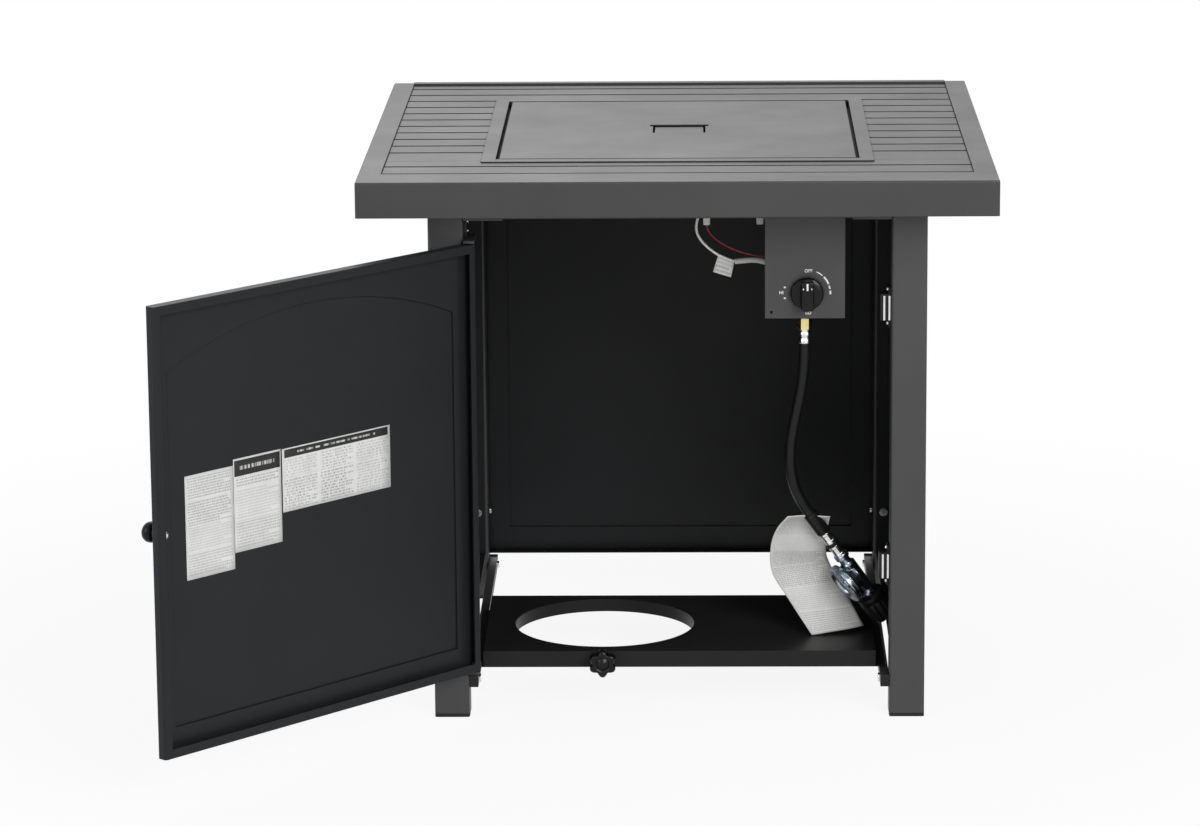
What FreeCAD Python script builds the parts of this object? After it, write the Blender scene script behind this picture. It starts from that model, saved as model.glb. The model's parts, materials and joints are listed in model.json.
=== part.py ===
import FreeCAD, Part
import math
import os
import re
import Sketcher

from FreeCAD import Placement, Rotation, Vector

# Square gas fire pit table with a steel cabinet, shown with its door open.
# The table is drawn about its own middle, X to the right, Y to the back and Z up from the
# floor, in millimetres. Every finished piece is then moved so that the origin lies on the
# floor under the middle of the whole object, with the door standing open.

SIZES = (
    ("table_width", 711, "tabletop, square in plan"),
    ("table_height", 635, "floor to the side boards' top face"),
    ("fascia_depth", 40, "height of the edge band round the tabletop"),
    ("frame_gauge", 1.5, "sheet of the tabletop frame"),
    ("frame_corner", 3, "rounding of the tabletop's upright corners"),
    ("frame_edge", 2, "rounding of the tabletop's upper edge"),
    ("side_board", 25.5, "width of the left and right boards"),
    ("front_board", 55, "depth of the front board"),
    ("back_board", 14.5, "depth of the back board"),
    ("back_rise", 1.2, "how far the back board stands above the side boards"),
    ("return_flange", 30, "inward flange under the edge band"),
    ("board_lip", 10, "turned-down lip at the boards' inner edges"),
    ("slat_pitch", 46.3, "slat to slat"),
    ("slat_gap", 6, "groove between two slats"),
    ("slat_shift", 10, "how far the slats lie behind an even spread about the middle"),
    ("slat_gauge", 1.2, "sheet of the slats"),
    ("slat_depth", 10, "height of a folded slat"),
    ("slat_drop", 1.5, "slats' top below the side boards"),
    ("slat_end_gap", 0.5, "gap between slat ends and what they meet"),
    ("rear_slat", 21, "depth of the narrow slat at the back"),
    ("bearer_width", 20, "tubes that carry the slats"),
    ("bearer_wall", 1.5, "wall of those tubes"),
    ("leg_span", 560, "outside to outside of the legs, both ways"),
    ("leg_size", 40, "square leg tube"),
    ("leg_wall", 1.5, "wall of the leg tube"),
    ("leg_corner", 3, "rounding of the leg tube"),
    ("glide_base", 4, "thickness of the foot glide under the leg"),
    ("glide_plug", 18, "glide's plug inside the leg"),
    ("seat_gap", 0.3, "gap round a plug or between curved neighbours"),
    ("rail_depth", 16.5, "height of the upper rails between the legs"),
    ("rail_wall", 1.5, "wall of the upper rails"),
    ("gusset_reach", 44, "corner plate welded under an upper rail, along the rail"),
    ("gusset_gauge", 2, "thickness of the corner plates"),
    ("panel_gauge", 1.2, "sheet of the cabinet panels and the door"),
    ("panel_bottom", 58, "floor to the fixed panels' lower edge"),
    ("panel_set", 22, "legs' inner faces out to a fixed panel's inner face"),
    ("panel_bolt_inset", 53, "panel's lower or upper edge to its bolts"),
    ("panel_flange", 18, "depth of the folded edges of the fixed panels"),
    ("pressing_inset", 25.2, "panel edge to the raised pressing, at the sides"),
    ("pressing_foot", 28, "panel's lower edge to the pressing"),
    ("pressing_shoulder", 105, "fixed panel's upper edge to where the pressing's arch begins"),
    ("pressing_rise", 45, "rise of the arch"),
    ("pressing_depth", 2, "height of the raised pressing"),
    ("door_bottom", 56, "floor to the door's lower edge"),
    ("door_head", 28, "door's upper edge to the upper rail"),
    ("door_shoulder", 75, "door's upper edge to where its pressing's arch begins"),
    ("door_gap", 2, "gap between the door and a leg"),
    ("door_proud", 5, "door's face in front of the legs"),
    ("door_flange", 13, "depth of the door's folded edges"),
    ("door_lip", 10, "return lip inside the door's folded edge"),
    ("door_angle", 132.9, "angle at which the door stands open, in degrees"),
    ("pivot_inset", 6, "leg's inner face to the hinge pins"),
    ("pin_radius", 2.5, "hinge pins"),
    ("pin_reach", 9, "how far a hinge pin goes into the door"),
    ("running_gap", 0.05, "radial gap of a pin, shaft or screw in its hole"),
    ("hinge_tab", 3, "thickness of the hinge brackets"),
    ("hinge_gap", 1, "door edge to hinge bracket"),
    ("hinge_setback", 2, "leg's inner face to the hinge bracket's rear edge"),
    ("hinge_screw_inset", 10, "hinge bracket's rear edge to its screws"),
    ("hinge_screw_end", 6, "hinge flange's end to its first screw"),
    ("hinge_screw_step", 11, "screw to screw on a hinge flange"),
    ("hinge_side", 12.5, "hinge bracket, leg to its free edge"),
    ("hinge_foot", 20, "length of that flange along the leg"),
    ("pull_inset", 18, "door's free edge to the pull knob's middle"),
    ("pull_rise", 244, "door's lower edge to the pull knob"),
    ("pull_radius", 11.5, "pull knob"),
    ("pull_length", 29, "pull knob, door face to its end"),
    ("pull_neck", 5, "neck of the pull knob"),
    ("pull_screw", 2, "radius of the pull knob's screw"),
    ("label_gauge", 0.3, "thickness of the labels inside the door"),
    ("label_start", 121.3, "hinge pins to the first label"),
    ("wide_label_width", 161.5, "width of the wide label"),
    ("wide_label_height", 71, "height of the wide label"),
    ("wide_label_rise", 237, "door's lower edge to the wide label"),
    ("label_gap", 2, "wide label to the middle label"),
    ("label_width", 69, "width of the middle label and the far label"),
    ("label_height", 104, "height of the middle label"),
    ("label_rise", 205, "door's lower edge to the middle label"),
    ("label_seam", 0.5, "middle label to the far label"),
    ("far_label_height", 115, "height of the far label"),
    ("far_label_rise", 187.5, "door's lower edge to the far label"),
    ("catch_drop", 77, "door's upper edge to the upper magnet catch"),
    ("catch_rise", 119, "door's lower edge to the lower magnet catch"),
    ("catch_width", 12, "magnet catch, from the leg's face"),
    ("catch_depth", 20, "magnet catch, front to back"),
    ("catch_height", 30, "magnet catch between its ears"),
    ("catch_ear", 8, "length of a catch's screw ear"),
    ("catch_ear_gauge", 3, "thickness of a screw ear"),
    ("catch_setback", 4.5, "closed door's lip to the catch's body"),
    ("pole_gauge", 2.2, "thickness of a magnet's steel pole plate"),
    ("pole_height", 28, "height of a pole plate"),
    ("pole_gap", 0.5, "closed door's lip to the pole plates"),
    ("tray_rail_width", 10, "tray rail, across"),
    ("tray_rail_height", 12, "tray rail, upright"),
    ("tray_rail_wall", 1.2, "wall of the tray rail"),
    ("tray_rail_top", 47, "floor to the tray rails' top"),
    ("tray_rail_setback", 5, "legs' front faces to the tray rails' front ends"),
    ("tray_rail_short", 10, "legs' rear faces to the tray rails' rear ends"),
    ("plug_head", 3, "end plug's head outside the rail"),
    ("plug_stop", 2, "how far the plug's head stands above the rail"),
    ("plug_shank", 10, "end plug inside the rail"),
    ("tray_side_gap", 2, "tray's lips to the legs"),
    ("tray_setback", 3, "front legs' inner faces to the tray's front face as it stands"),
    ("tray_height", 19, "tray's top face above the rails"),
    ("tray_gauge", 1.2, "sheet of the tray"),
    ("tray_lip", 12, "outward lips that slide on the rails"),
    ("tank_x", -88, "middle of the tank hole, across"),
    ("tank_front", 19, "tray's front face to the tank hole"),
    ("tank_rear", 17, "tank hole to the tray's rear face"),
    ("tank_radius", 105, "tank hole"),
    ("collar_depth", 15, "turned-down collar of the tank hole"),
    ("screw_radius", 4, "tank screw"),
    ("screw_rest", 12, "gap between the knob and the tray as it stands"),
    ("screw_tip", 15, "tank screw's end behind the tray's front face"),
    ("screw_rise", 10, "tray rails' top to the tank screw"),
    ("screw_hole_gap", 0.5, "clearance of the screw in tray and collar"),
    ("nut_width", 13, "across the flats of the tank screw's nut"),
    ("nut_depth", 6.5, "thickness of that nut"),
    ("star_radius", 16.5, "star knob to the tips of its lobes"),
    ("star_core", 13, "radius of the star knob between the lobes"),
    ("star_lobe", 4.5, "radius of one lobe"),
    ("star_lobes", 6, "lobes on the star knob"),
    ("star_depth", 14, "thickness of the star knob"),
    ("star_bore", 10, "depth of the tank screw in the star knob"),
    ("pad_radius", 4.4, "swivel pad at the tank screw's tip"),
    ("pad_depth", 3, "thickness of that pad"),
    ("plate_left", 98.5, "control plate's left edge"),
    ("plate_width", 90.5, "width of the control plate"),
    ("plate_height", 139.5, "control plate, from the legs' top down"),
    ("plate_flange", 12, "folded edges of the control plate"),
    ("valve_inset", 43, "plate's right edge to the middle of the valve and its knob"),
    ("valve_rise", 29.6, "plate's lower edge to the valve's stem"),
    ("valve_width", 34, "valve body, across"),
    ("valve_depth", 36, "valve body, front to back"),
    ("valve_tall", 50, "valve body, upright"),
    ("valve_neck", 10, "radius of the valve's front neck"),
    ("valve_setback", 8, "control plate's back to the valve body"),
    ("stem_radius", 4, "valve stem"),
    ("stem_reach", 16, "valve stem in front of the control plate"),
    ("collar_radius", 6.5, "push collar on the stem"),
    ("push_travel", 3, "how far the knob is pushed in"),
    ("knob_gap", 5, "gap between the control knob and its plate"),
    ("knob_radius", 20, "skirt of the control knob"),
    ("knob_skirt", 5, "thickness of the skirt"),
    ("knob_grip", 15, "height of the grip above the skirt"),
    ("grip_width", 14, "width of the knob's grip bar"),
    ("inlet_offset", 2, "valve's middle to the gas inlet, across"),
    ("inlet_setback", 22, "legs' inner faces to the gas inlet, front to back"),
    ("inlet_length", 20.6, "inlet fitting below the valve"),
    ("ferrule_radius", 7, "crimped ferrule on the hose"),
    ("ferrule_length", 17, "length of that ferrule"),
    ("hose_radius", 6.5, "gas hose"),
    ("sleeve_radius", 8.5, "bend guard on the hose"),
    ("sleeve_length", 32, "length of the bend guard"),
    ("crimp_radius", 7.2, "crimped end of the hose at the regulator"),
    ("crimp_length", 32, "length of the crimped end"),
    ("crimp_ring", 8.2, "raised ring between the two crimps"),
    ("regulator_radius", 9.5, "regulator's body"),
    ("regulator_length", 62, "length of the regulator's body"),
    ("cap_radius", 25, "diaphragm cap of the regulator"),
    ("cap_depth", 10, "thickness of the diaphragm cap"),
    ("cap_place", 33, "regulator's start to the middle of its cap"),
    ("cap_offset", 10, "regulator's axis to the cap's back"),
    ("nipple_radius", 5, "nipple that carries the gas nut"),
    ("nut_radius", 17, "gas nut"),
    ("nut_length", 35, "length of the gas nut"),
    ("nut_thread", 12, "bore of the gas nut's threaded end"),
    ("bowl_ledge", 8, "ledge between the bowl and the rim's opening"),
    ("bowl_depth", 70, "side boards' top to the bowl's underside"),
    ("bowl_gauge", 1.2, "sheet of the burner pan"),
    ("bowl_corner", 14, "rounding at the bowl's foot"),
    ("rim_width", 444, "burner pan's rim, square"),
    ("rim_strip", 16, "visible width of the rim"),
    ("rim_gauge", 1.5, "thickness of the rim"),
    ("lid_gap", 4, "gap between the lid and the rim"),
    ("lid_depth", 9, "lid's folded edge"),
    ("lid_gauge", 1.5, "sheet of the lid"),
    ("grip_hole_x", 61.5, "width of the lid's finger opening"),
    ("grip_hole_y", 57, "depth of the lid's finger opening"),
    ("grip_slot", 5, "open slot behind the finger tab"),
    ("burner_radius", 120, "ring burner, to the middle of its tube"),
    ("burner_tube", 8, "radius of the burner's tube"),
    ("burner_rise", 27, "bowl's underside to the ring burner's middle"),
    ("burner_hub", 13, "radius of the burner's feed hub"),
    ("feed_radius", 5, "gas tube from the valve to the burner"),
    ("feed_bend", 14, "bends of that tube"),
    ("feed_setback", 5, "valve's rear face to the gas tube's middle"),
    ("feed_share", 0.78, "share of its way to the burner that the gas tube runs level"),
    ("probe_radius", 3, "igniter electrode and flame sensor"),
    ("probe_height", 30, "how far they stand in the bowl"),
    ("igniter_x", 23, "igniter electrode, across"),
    ("igniter_y", -150, "igniter electrode, front to back"),
    ("sensor_x", 33, "flame sensor, across"),
    ("sensor_y", -132, "flame sensor, front to back"),
    ("lead_radius", 1.5, "igniter lead"),
    ("sensor_lead_radius", 1, "flame sensor's lead"),
    ("braid_radius", 3.2, "braided sleeve over the leads"),
    ("bolt_radius", 3, "panel bolts"),
    ("bolt_head", 5, "radius of a panel bolt's head"),
    ("bolt_head_depth", 2.5, "height of that head"),
    ("small_screw", 1.6, "radius of the small screws"),
    ("small_head", 3, "radius of a small screw's head"),
    ("small_head_depth", 1.8, "height of that head"),
    ("bearer_gap", 3, "burner pan to an inner slat bearer"),
    ("bearer_step", 45, "slat bearer to slat bearer"),
    ("lid_corner", 2, "rounding of the lid's upright corners"),
    ("lid_edge", 1, "rounding of the lid's upper edge"),
    ("grip_left", -29.5, "left end of the lid's finger opening"),
    ("grip_front", -28, "front edge of the finger opening"),
    ("grip_side", 2.5, "slot on the two sides of the finger tab"),
    ("grip_wing", 3.5, "how far the finger opening's rear part reaches out at each side"),
    ("grip_wing_depth", 12, "length of that rear part"),
    ("grip_drop", 2.1, "how far the finger tab is bent down"),
    ("fitting_radius", 5, "thread of the burner's inlet, through the bowl"),
    ("fitting_reach", 12, "that thread inside the burner's hub"),
    ("inlet_flats", 20, "across the flats of the burner's inlet"),
    ("inlet_tall", 16, "burner's inlet below the bowl"),
    ("burner_arm", 6, "radius of the arms between hub and ring"),
    ("igniter_tail", 8, "igniter below the bowl"),
    ("sensor_tail", 10, "flame sensor below the bowl"),
    ("rail_bolt_gap", 5, "end plug's shank to the middle of a tray rail's bolt"),
    ("bolt_grip", 7.7, "length of a bolt under its head"),
    ("screw_grip", 9, "length of a small screw under its head"),
    ("door_corner", 3, "rounding of the door's upright corners"),
    ("pull_bore", 15, "depth of the screw in the pull knob"),
    ("star_edge", 2.5, "rounding of the star knob"),
    ("plate_screw_inset", 20, "plate's side to its fixing screws"),
    ("plate_screw_drop", 8.5, "legs' top to the plate's fixing screws"),
    ("plate_mark_inset", 7.2, "plate's corner to the small hole in its face"),
    ("socket_reach", 6, "lead socket on the valve's left side"),
    ("socket_front", 14, "valve body's front to the lead socket"),
    ("socket_depth", 20, "lead socket, front to back"),
    ("socket_low", 1, "valve's stem to the lead socket's lower face"),
    ("socket_tall", 22, "lead socket, upright"),
    ("socket_bore", 4, "depth of the holes that take the leads"),
    ("lead_gap", 1.4, "radial gap of the leads in those holes"),
    ("braid_hole_depth", 24.3, "valve body's front to the braided sleeve's hole"),
    ("braid_hole_rise", 12, "valve's stem up to that hole"),
    ("sensor_lead_hole_depth", 29.8, "valve body's front to the sensor lead's hole"),
    ("sensor_lead_hole_rise", 20, "valve's stem up to that hole"),
    ("valve_corner", 3, "rounding of the valve body"),
    ("stem_hole_gap", 1.5, "radial gap of the valve stem in the control plate"),
    ("stem_end_gap", 2, "valve stem's end to its bore's bottom when pushed in"),
    ("knob_edge", 1, "rounding of the control knob's skirt"),
    ("grip_inset", 2.7, "skirt's edge to the grip bar's end"),
    ("grip_corner", 3, "rounding of the grip bar's upright corners"),
    ("grip_edge", 2, "rounding of the grip bar's front"),
    ("plug_half", 4, "half the width of a white plug"),
    ("spare_plug_x", 94, "plug without a lead, across"),
    ("spare_plug_y", -150, "plug without a lead, front to back"),
    ("spare_plug_length", 16, "length of that plug"),
    ("flag_gauge", 0.6, "thickness of the igniter lead's flag"),
    ("stem_depth", 18, "depth of the stem's bore in the valve body"),
    ("push_collar_depth", 1.5, "thickness of the push collar"),
    ("inlet_hex", 15, "across the flats of the gas inlet"),
    ("nut_wall", 3, "gas nut's wall that the nipple passes"),
    ("tag_gauge", 0.4, "thickness of the paper tag"),
)

# Routes of what hangs free, as points chosen by hand from one end to the other
HOSE_ROUTE = (
    (144.0, -218.0, 424.0),
    (144.0, -218.0, 393.0),
    (137.4, -216.0, 354.5),
    (129.0, -213.0, 314.5),
    (127.4, -210.5, 284.5),
    (130.6, -207.6, 259.0),
    (139.2, -204.24, 236.77),
    (151.0, -199.6, 219.4),
)
IGNITER_LEAD_ROUTE = (
    (22.9, -150.0, 556.5),
    (20.6, -150.2, 548.0),
    (21.6, -150.6, 538.0),
    (27.8, -152.0, 528.4),
    (37.4, -154.0, 519.6),
    (50.6, -156.8, 511.6),
    (64.6, -158.9, 507.2),
)
SENSOR_LEAD_ROUTE = (
    (33.0, -132.0, 544.8),
    (33.6, -132.2, 539.2),
    (40.0, -135.2, 531.4),
    (50.4, -139.8, 524.2),
    (64.0, -145.6, 518.4),
    (78.0, -151.4, 514.8),
    (90.2, -158.0, 513.8),
    (99.8, -167.0, 514.6),
    (107.4, -178.0, 514.6),
    (116.0, -190.6, 511.2),
    (123.0, -201.0, 506.6),
)
BRAID_ROUTE = (
    (65.4, -159.1, 507.1),
    (78.2, -161.4, 509.0),
    (90.6, -167.0, 510.4),
    (100.3, -176.0, 509.8),
    (107.0, -187.2, 506.4),
    (114.0, -198.4, 502.2),
    (123.0, -206.5, 498.6),
)

# Sizes that follow from others
DERIVED = {
    "leg_inner": "leg_span / 2 - leg_size",
    "leg_middle": "leg_span / 2 - leg_size / 2",
    "leg_top": "table_height - fascia_depth + frame_gauge",
    "rail_low": "leg_top - rail_depth",
    "panel_inner": "leg_inner + panel_set",
    "panel_bolt_line": "panel_inner - panel_flange / 2",
    "panel_bolt_low": "panel_bottom + panel_bolt_inset",
    "panel_bolt_high": "rail_low - panel_bolt_inset",
    "door_top": "rail_low - door_head",
    "door_height": "door_top - door_bottom",
    "pull_height": "door_bottom + pull_rise",
    "catch_high": "door_top - catch_drop",
    "catch_low": "door_bottom + catch_rise",
    "hinge_rear": "-leg_inner - hinge_setback",
    "hinge_screw_line": "hinge_rear - hinge_screw_inset",
    "hinge_above": "door_top + hinge_gap",
    "hinge_below": "door_bottom - hinge_gap - hinge_tab",
    "hinge_flange": "door_head - hinge_gap - gusset_gauge",
    "tray_width": "2 * (leg_inner - tray_side_gap - tray_lip)",
    "tray_front": "-leg_inner + tray_setback",
    "tray_depth": "tank_front + 2 * tank_radius + tank_rear",
    "tank_y": "tray_front + tank_front + tank_radius",
    "screw_height": "tray_rail_top + screw_rise",
    "tray_rail_front": "-leg_span / 2 + tray_rail_setback",
    "tray_rail_rear": "leg_span / 2 - tray_rail_short",
    "rail_bolt_front": "tray_rail_front + plug_shank + rail_bolt_gap",
    "rail_bolt_rear": "tray_rail_rear - plug_shank - rail_bolt_gap",
    "rail_bolt_height": "tray_rail_top - tray_rail_height / 2",
    "plate_bottom": "leg_top - plate_height",
    "plate_screw_height": "leg_top - plate_screw_drop",
    "valve_x": "plate_left + plate_width - valve_inset",
    "valve_height": "plate_bottom + valve_rise",
    "valve_top": "valve_height + valve_tall / 2",
    "valve_bottom": "valve_height - valve_tall / 2",
    "plate_back": "-leg_inner + panel_gauge",
    "valve_front": "plate_back + valve_setback",
    "inlet_x": "valve_x - inlet_offset",
    "inlet_y": "-leg_inner + inlet_setback",
    "feed_y": "valve_front + valve_depth - feed_setback",
    "rim_hole": "rim_width / 2 - rim_strip",
    "bowl_radius": "rim_hole - bowl_ledge",
    "bowl_bottom": "table_height - bowl_depth",
    "burner_inlet_height": "bowl_bottom - inlet_tall / 2",
    "burner_height": "bowl_bottom + burner_rise",
    "bearer_inner": "rim_hole + bowl_gauge + bearer_gap + bearer_width / 2",
    "bearer_outer": "bearer_inner + bearer_step",
    "door_left": "door_gap - pivot_inset",
    "door_right": "2 * leg_inner - pivot_inset - door_gap",
    "pull_place": "door_right - pull_inset",
    "catch_front": "-leg_span / 2 - door_proud + door_flange + catch_setback",
    "catch_middle": "catch_front + catch_depth / 2",
    "chain_start": "sleeve_length + crimp_length",
}
HINGE_SCREWS = tuple(
    f"{base} + hinge_tab + hinge_screw_end + {step} * hinge_screw_step"
    for base in ("hinge_above", "hinge_below") for step in (0, 1)
)
CATCH_SCREWS = tuple(
    f"{middle} + {sign} * (catch_height + catch_ear) / 2"
    for middle in ("catch_high", "catch_low") for sign in (-1, 1)
)
PLATE_SCREWS = ("plate_left + plate_screw_inset", "plate_left + plate_width - plate_screw_inset")

# Labels inside the door: where each starts, its width, its rise above the door's edge, its height
LABELS = (
    ("label_start", "wide_label_width", "wide_label_rise", "wide_label_height"),
    ("label_start + wide_label_width + label_gap", "label_width", "label_rise", "label_height"),
    ("label_start + wide_label_width + label_gap + label_width + label_seam", "label_width",
     "far_label_rise", "far_label_height"),
)

# The fittings that end the hose go on along its last run; the regulator's cap faces forwards
CHAIN_START = Vector(*HOSE_ROUTE[-1])
CHAIN_WAY = (CHAIN_START - Vector(*HOSE_ROUTE[-2])).normalize()
CAP_WAY = Vector(-0.70, -0.37, -0.61)
CAP_WAY = (CAP_WAY - CHAIN_WAY * CAP_WAY.dot(CHAIN_WAY)).normalize()

# Left and right edge points of the paper tag, from the top down, and the lead's small flag
TAG_ROWS = (
    ((125, -208, 218), (174, -207, 217.5)),
    ((113, -190, 199), (172, -186, 200)),
    ((106, -176, 173), (170, -172, 170)),
    ((108, -165, 140), (176, -152, 146)),
    ((130, -165, 103), (197, -149, 106)),
    ((154, -172, 66.8), (215, -155, 73)),
)
FLAG = ((45.8, -157.7, 513.2), (64.5, -157.7, 506.2), (60.7, -157.7, 488.7), (40.1, -157.7, 494.7))

document = FreeCAD.newDocument("FirePitTable")
sheet = document.addObject("Spreadsheet::Sheet", "Sizes")
aliases = {name for name, value, meaning in SIZES} | {"origin_x", "origin_y"}
pieces = []


def fill_sheet():
    """Write each size with its name and its meaning on a line of the spreadsheet."""
    for line, (name, value, meaning) in enumerate(SIZES, start=1):
        sheet.set(f"A{line}", meaning)
        sheet.set(f"B{line}", str(value))
        sheet.setAlias(f"B{line}", name)
    for step, name in enumerate(("origin_x", "origin_y"), start=len(SIZES) + 1):
        sheet.set(f"A{step}", "table's middle to the origin")
        sheet.set(f"B{step}", "0")
        sheet.setAlias(f"B{step}", name)
    document.recompute()


def formula(text):
    """An expression in which every size's name points into the spreadsheet."""
    def point(match):
        word = match.group()
        if word in DERIVED:
            return f"({formula(DERIVED[word])})"
        return f"Sizes.{word}" if word in aliases else word
    return re.sub(r"[a-z_]+", point, text)


def number(text):
    """The value of an expression of sizes."""
    return float(sheet.evalExpression(formula(text)))


# Sketches and features


def hold(drawing, kind, element, vertex, value):
    """Fix one coordinate of a sketch point, measured from the sketch's origin."""
    point = drawing.getPoint(element, vertex)
    start = point.x if kind == "DistanceX" else point.y
    line = drawing.addConstraint(Sketcher.Constraint(kind, -1, 1, element, vertex, start))
    drawing.setExpression(f"Constraints[{line}]", formula(value))


def loop(*corners):
    """A closed outline of straight lines through the corners."""
    def draw(drawing):
        count = len(corners)
        first = drawing.GeometryCount
        turns = [2 * math.pi * step / count for step in range(count)]
        guess = [Vector(math.cos(turn), math.sin(turn), 0) for turn in turns]
        for step in range(count):
            drawing.addGeometry(Part.LineSegment(guess[step], guess[(step + 1) % count]), False)
        for step, (across, along) in enumerate(corners):
            after = first + (step - 1) % count
            drawing.addConstraint(Sketcher.Constraint("Coincident", after, 2, first + step, 1))
            hold(drawing, "DistanceX", first + step, 1, across)
            hold(drawing, "DistanceY", first + step, 1, along)
    return draw


def rect(left, low, right, high):
    """A rectangle between two corners."""
    return loop((left, low), (right, low), (right, high), (left, high))


def disc(across, along, radius):
    """A circle."""
    def draw(drawing):
        ring = drawing.addGeometry(Part.Circle(Vector(1, 1, 0), Vector(0, 0, 1), 1.0), False)
        hold(drawing, "DistanceX", ring, 3, across)
        hold(drawing, "DistanceY", ring, 3, along)
        line = drawing.addConstraint(Sketcher.Constraint("Radius", ring, 1.0))
        drawing.setExpression(f"Constraints[{line}]", formula(radius))
    return draw


def arch(middle, half, foot, spring, rise):
    """An upright outline, arched at the top: expressions for its middle and its measures."""
    def draw(drawing):
        left, right = f"({middle}) - ({half})", f"({middle}) + ({half})"
        points = [Vector(number(across), number(along), 0) for across, along in (
            (left, foot), (right, foot), (right, spring), (left, spring)
        )]
        for start, end in ((0, 1), (1, 2), (3, 0)):
            drawing.addGeometry(Part.LineSegment(points[start], points[end]), False)
        crown = Vector(number(middle), number(f"({spring}) + ({rise})"), 0)
        drawing.addGeometry(Part.Arc(points[2], crown, points[3]), False)
        for one, other in (((0, 2), (1, 1)), ((1, 2), (3, 1)), ((3, 2), (2, 1)), ((2, 2), (0, 1))):
            drawing.addConstraint(Sketcher.Constraint("Coincident", *one, *other))
        for element, vertex, across, along in (
            (0, 1, left, foot), (0, 2, right, foot), (1, 2, right, spring), (2, 1, left, spring)
        ):
            hold(drawing, "DistanceX", element, vertex, across)
            hold(drawing, "DistanceY", element, vertex, along)
        radius = f"(({half})^2 + ({rise})^2) / (2 * ({rise}))"
        line = drawing.addConstraint(Sketcher.Constraint("Radius", 3, drawing.Geometry[3].Radius))
        drawing.setExpression(f"Constraints[{line}]", formula(radius))
    return draw


VIEWS = {"top": ("XY_Plane", 1), "front": ("XZ_Plane", -1), "side": ("YZ_Plane", 1)}


def sketch_on(body, view, level, outlines):
    """A sketch on one of the body's own planes, at a level along the axis that it faces."""
    role, sign = VIEWS[view]
    drawing = body.newObject("Sketcher::SketchObject", "Sketch")
    plane = next(item for item in body.Origin.OriginFeatures if item.Role == role)
    drawing.AttachmentSupport = [(plane, "")]
    drawing.MapMode = "FlatFace"
    drawing.setExpression("AttachmentOffset.Base.z", formula(f"{sign} * ({level})"))
    for outline in outlines:
        outline(drawing)
    return drawing


def new_body(label):
    """An empty body that becomes one sub-part."""
    body = document.addObject("PartDesign::Body", label)
    body.Label = label
    body.AllowCompound = True
    return body


def pad(body, view, level, length, *outlines):
    """Add material from the level along the view's axis."""
    drawing = sketch_on(body, view, level, outlines)
    feature = body.newObject("PartDesign::Pad", "Pad")
    feature.Profile = drawing
    feature.Reversed = VIEWS[view][1] < 0
    feature.setExpression("Length", formula(length))
    return feature


def pocket(body, view, level, length, *outlines):
    """Cut material from the level along the view's axis, and check that some is gone."""
    document.recompute()
    before = body.Shape.Volume
    drawing = sketch_on(body, view, level, outlines)
    feature = body.newObject("PartDesign::Pocket", "Pocket")
    feature.Profile = drawing
    feature.Reversed = VIEWS[view][1] > 0
    feature.setExpression("Length", formula(length))
    document.recompute()
    if not body.Shape.Volume < before - 1e-3:
        raise RuntimeError(f"a pocket of {body.Label} cuts nothing")
    return feature


def turned(body, *profile):
    """Turn a profile, given as radius and height, about the upright axis."""
    drawing = sketch_on(body, "front", "0", [loop(*profile)])
    feature = body.newObject("PartDesign::Revolution", "Revolution")
    feature.Profile = drawing
    feature.ReferenceAxis = (drawing, ["V_Axis"])
    feature.Angle = 360
    return feature


def rounded(body, radius, choose):
    """Round the edges that choose(edge) accepts."""
    document.recompute()
    names = [f"Edge{n}" for n, edge in enumerate(body.Shape.Edges, start=1) if choose(edge)]
    if not names:
        raise RuntimeError(f"no edge of {body.Label} to round")
    below = body.Tip
    feature = body.newObject("PartDesign::Fillet", "Fillet")
    feature.Base = (below, names)
    feature.setExpression("Radius", formula(radius))
    body.Tip = feature
    return feature


def upright(edge):
    """True for a straight edge along Z."""
    start, end = edge.Vertexes[0].Point, edge.Vertexes[-1].Point
    return abs(start.x - end.x) < 1e-6 and abs(start.y - end.y) < 1e-6


def level_edge(height):
    """True for an edge that lies at one height."""
    def choose(edge):
        box = edge.BoundBox
        return abs(box.ZMin - height) < 1e-4 and abs(box.ZMax - height) < 1e-4
    return choose


# Placing


def seat(piece, across="0", along="0", height="0", rotation=None):
    """Place a finished piece in the table and take it up as a sub-part."""
    if rotation is not None:
        piece.Placement = Placement(Vector(), rotation)
    piece.setExpression("Placement.Base.x", formula(f"({across}) - origin_x"))
    piece.setExpression("Placement.Base.y", formula(f"({along}) - origin_y"))
    piece.setExpression("Placement.Base.z", formula(height))
    pieces.append(piece)
    return piece


def facing(front, up):
    """The rotation that sends Z to front and X as near as it can to up."""
    return Rotation(up, Vector(), front, "ZXY")


TO_FRONT = Rotation(Vector(1, 0, 0), 90)


def solid_piece(label, shapes):
    """A sub-part whose solids come from functions, because no feature makes them as directly."""
    piece = document.addObject("Part::Feature", label)
    piece.Label = label
    piece.Shape = shapes[0] if len(shapes) == 1 else Part.makeCompound(shapes)
    return seat(piece)


def block(low, high):
    """A box between two corners."""
    return Part.makeBox(high[0] - low[0], high[1] - low[1], high[2] - low[2], Vector(*low))


def hexagon(across, along, flats, turn=0):
    """A hexagon's outline about a point, turned by an angle in degrees."""
    return loop(*[(f"{across} + {flats} / sqrt(3) * cos({turn + 60 * corner:.4f})",
                   f"{along} + {flats} / sqrt(3) * sin({turn + 60 * corner:.4f})")
                  for corner in range(6)])


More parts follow.
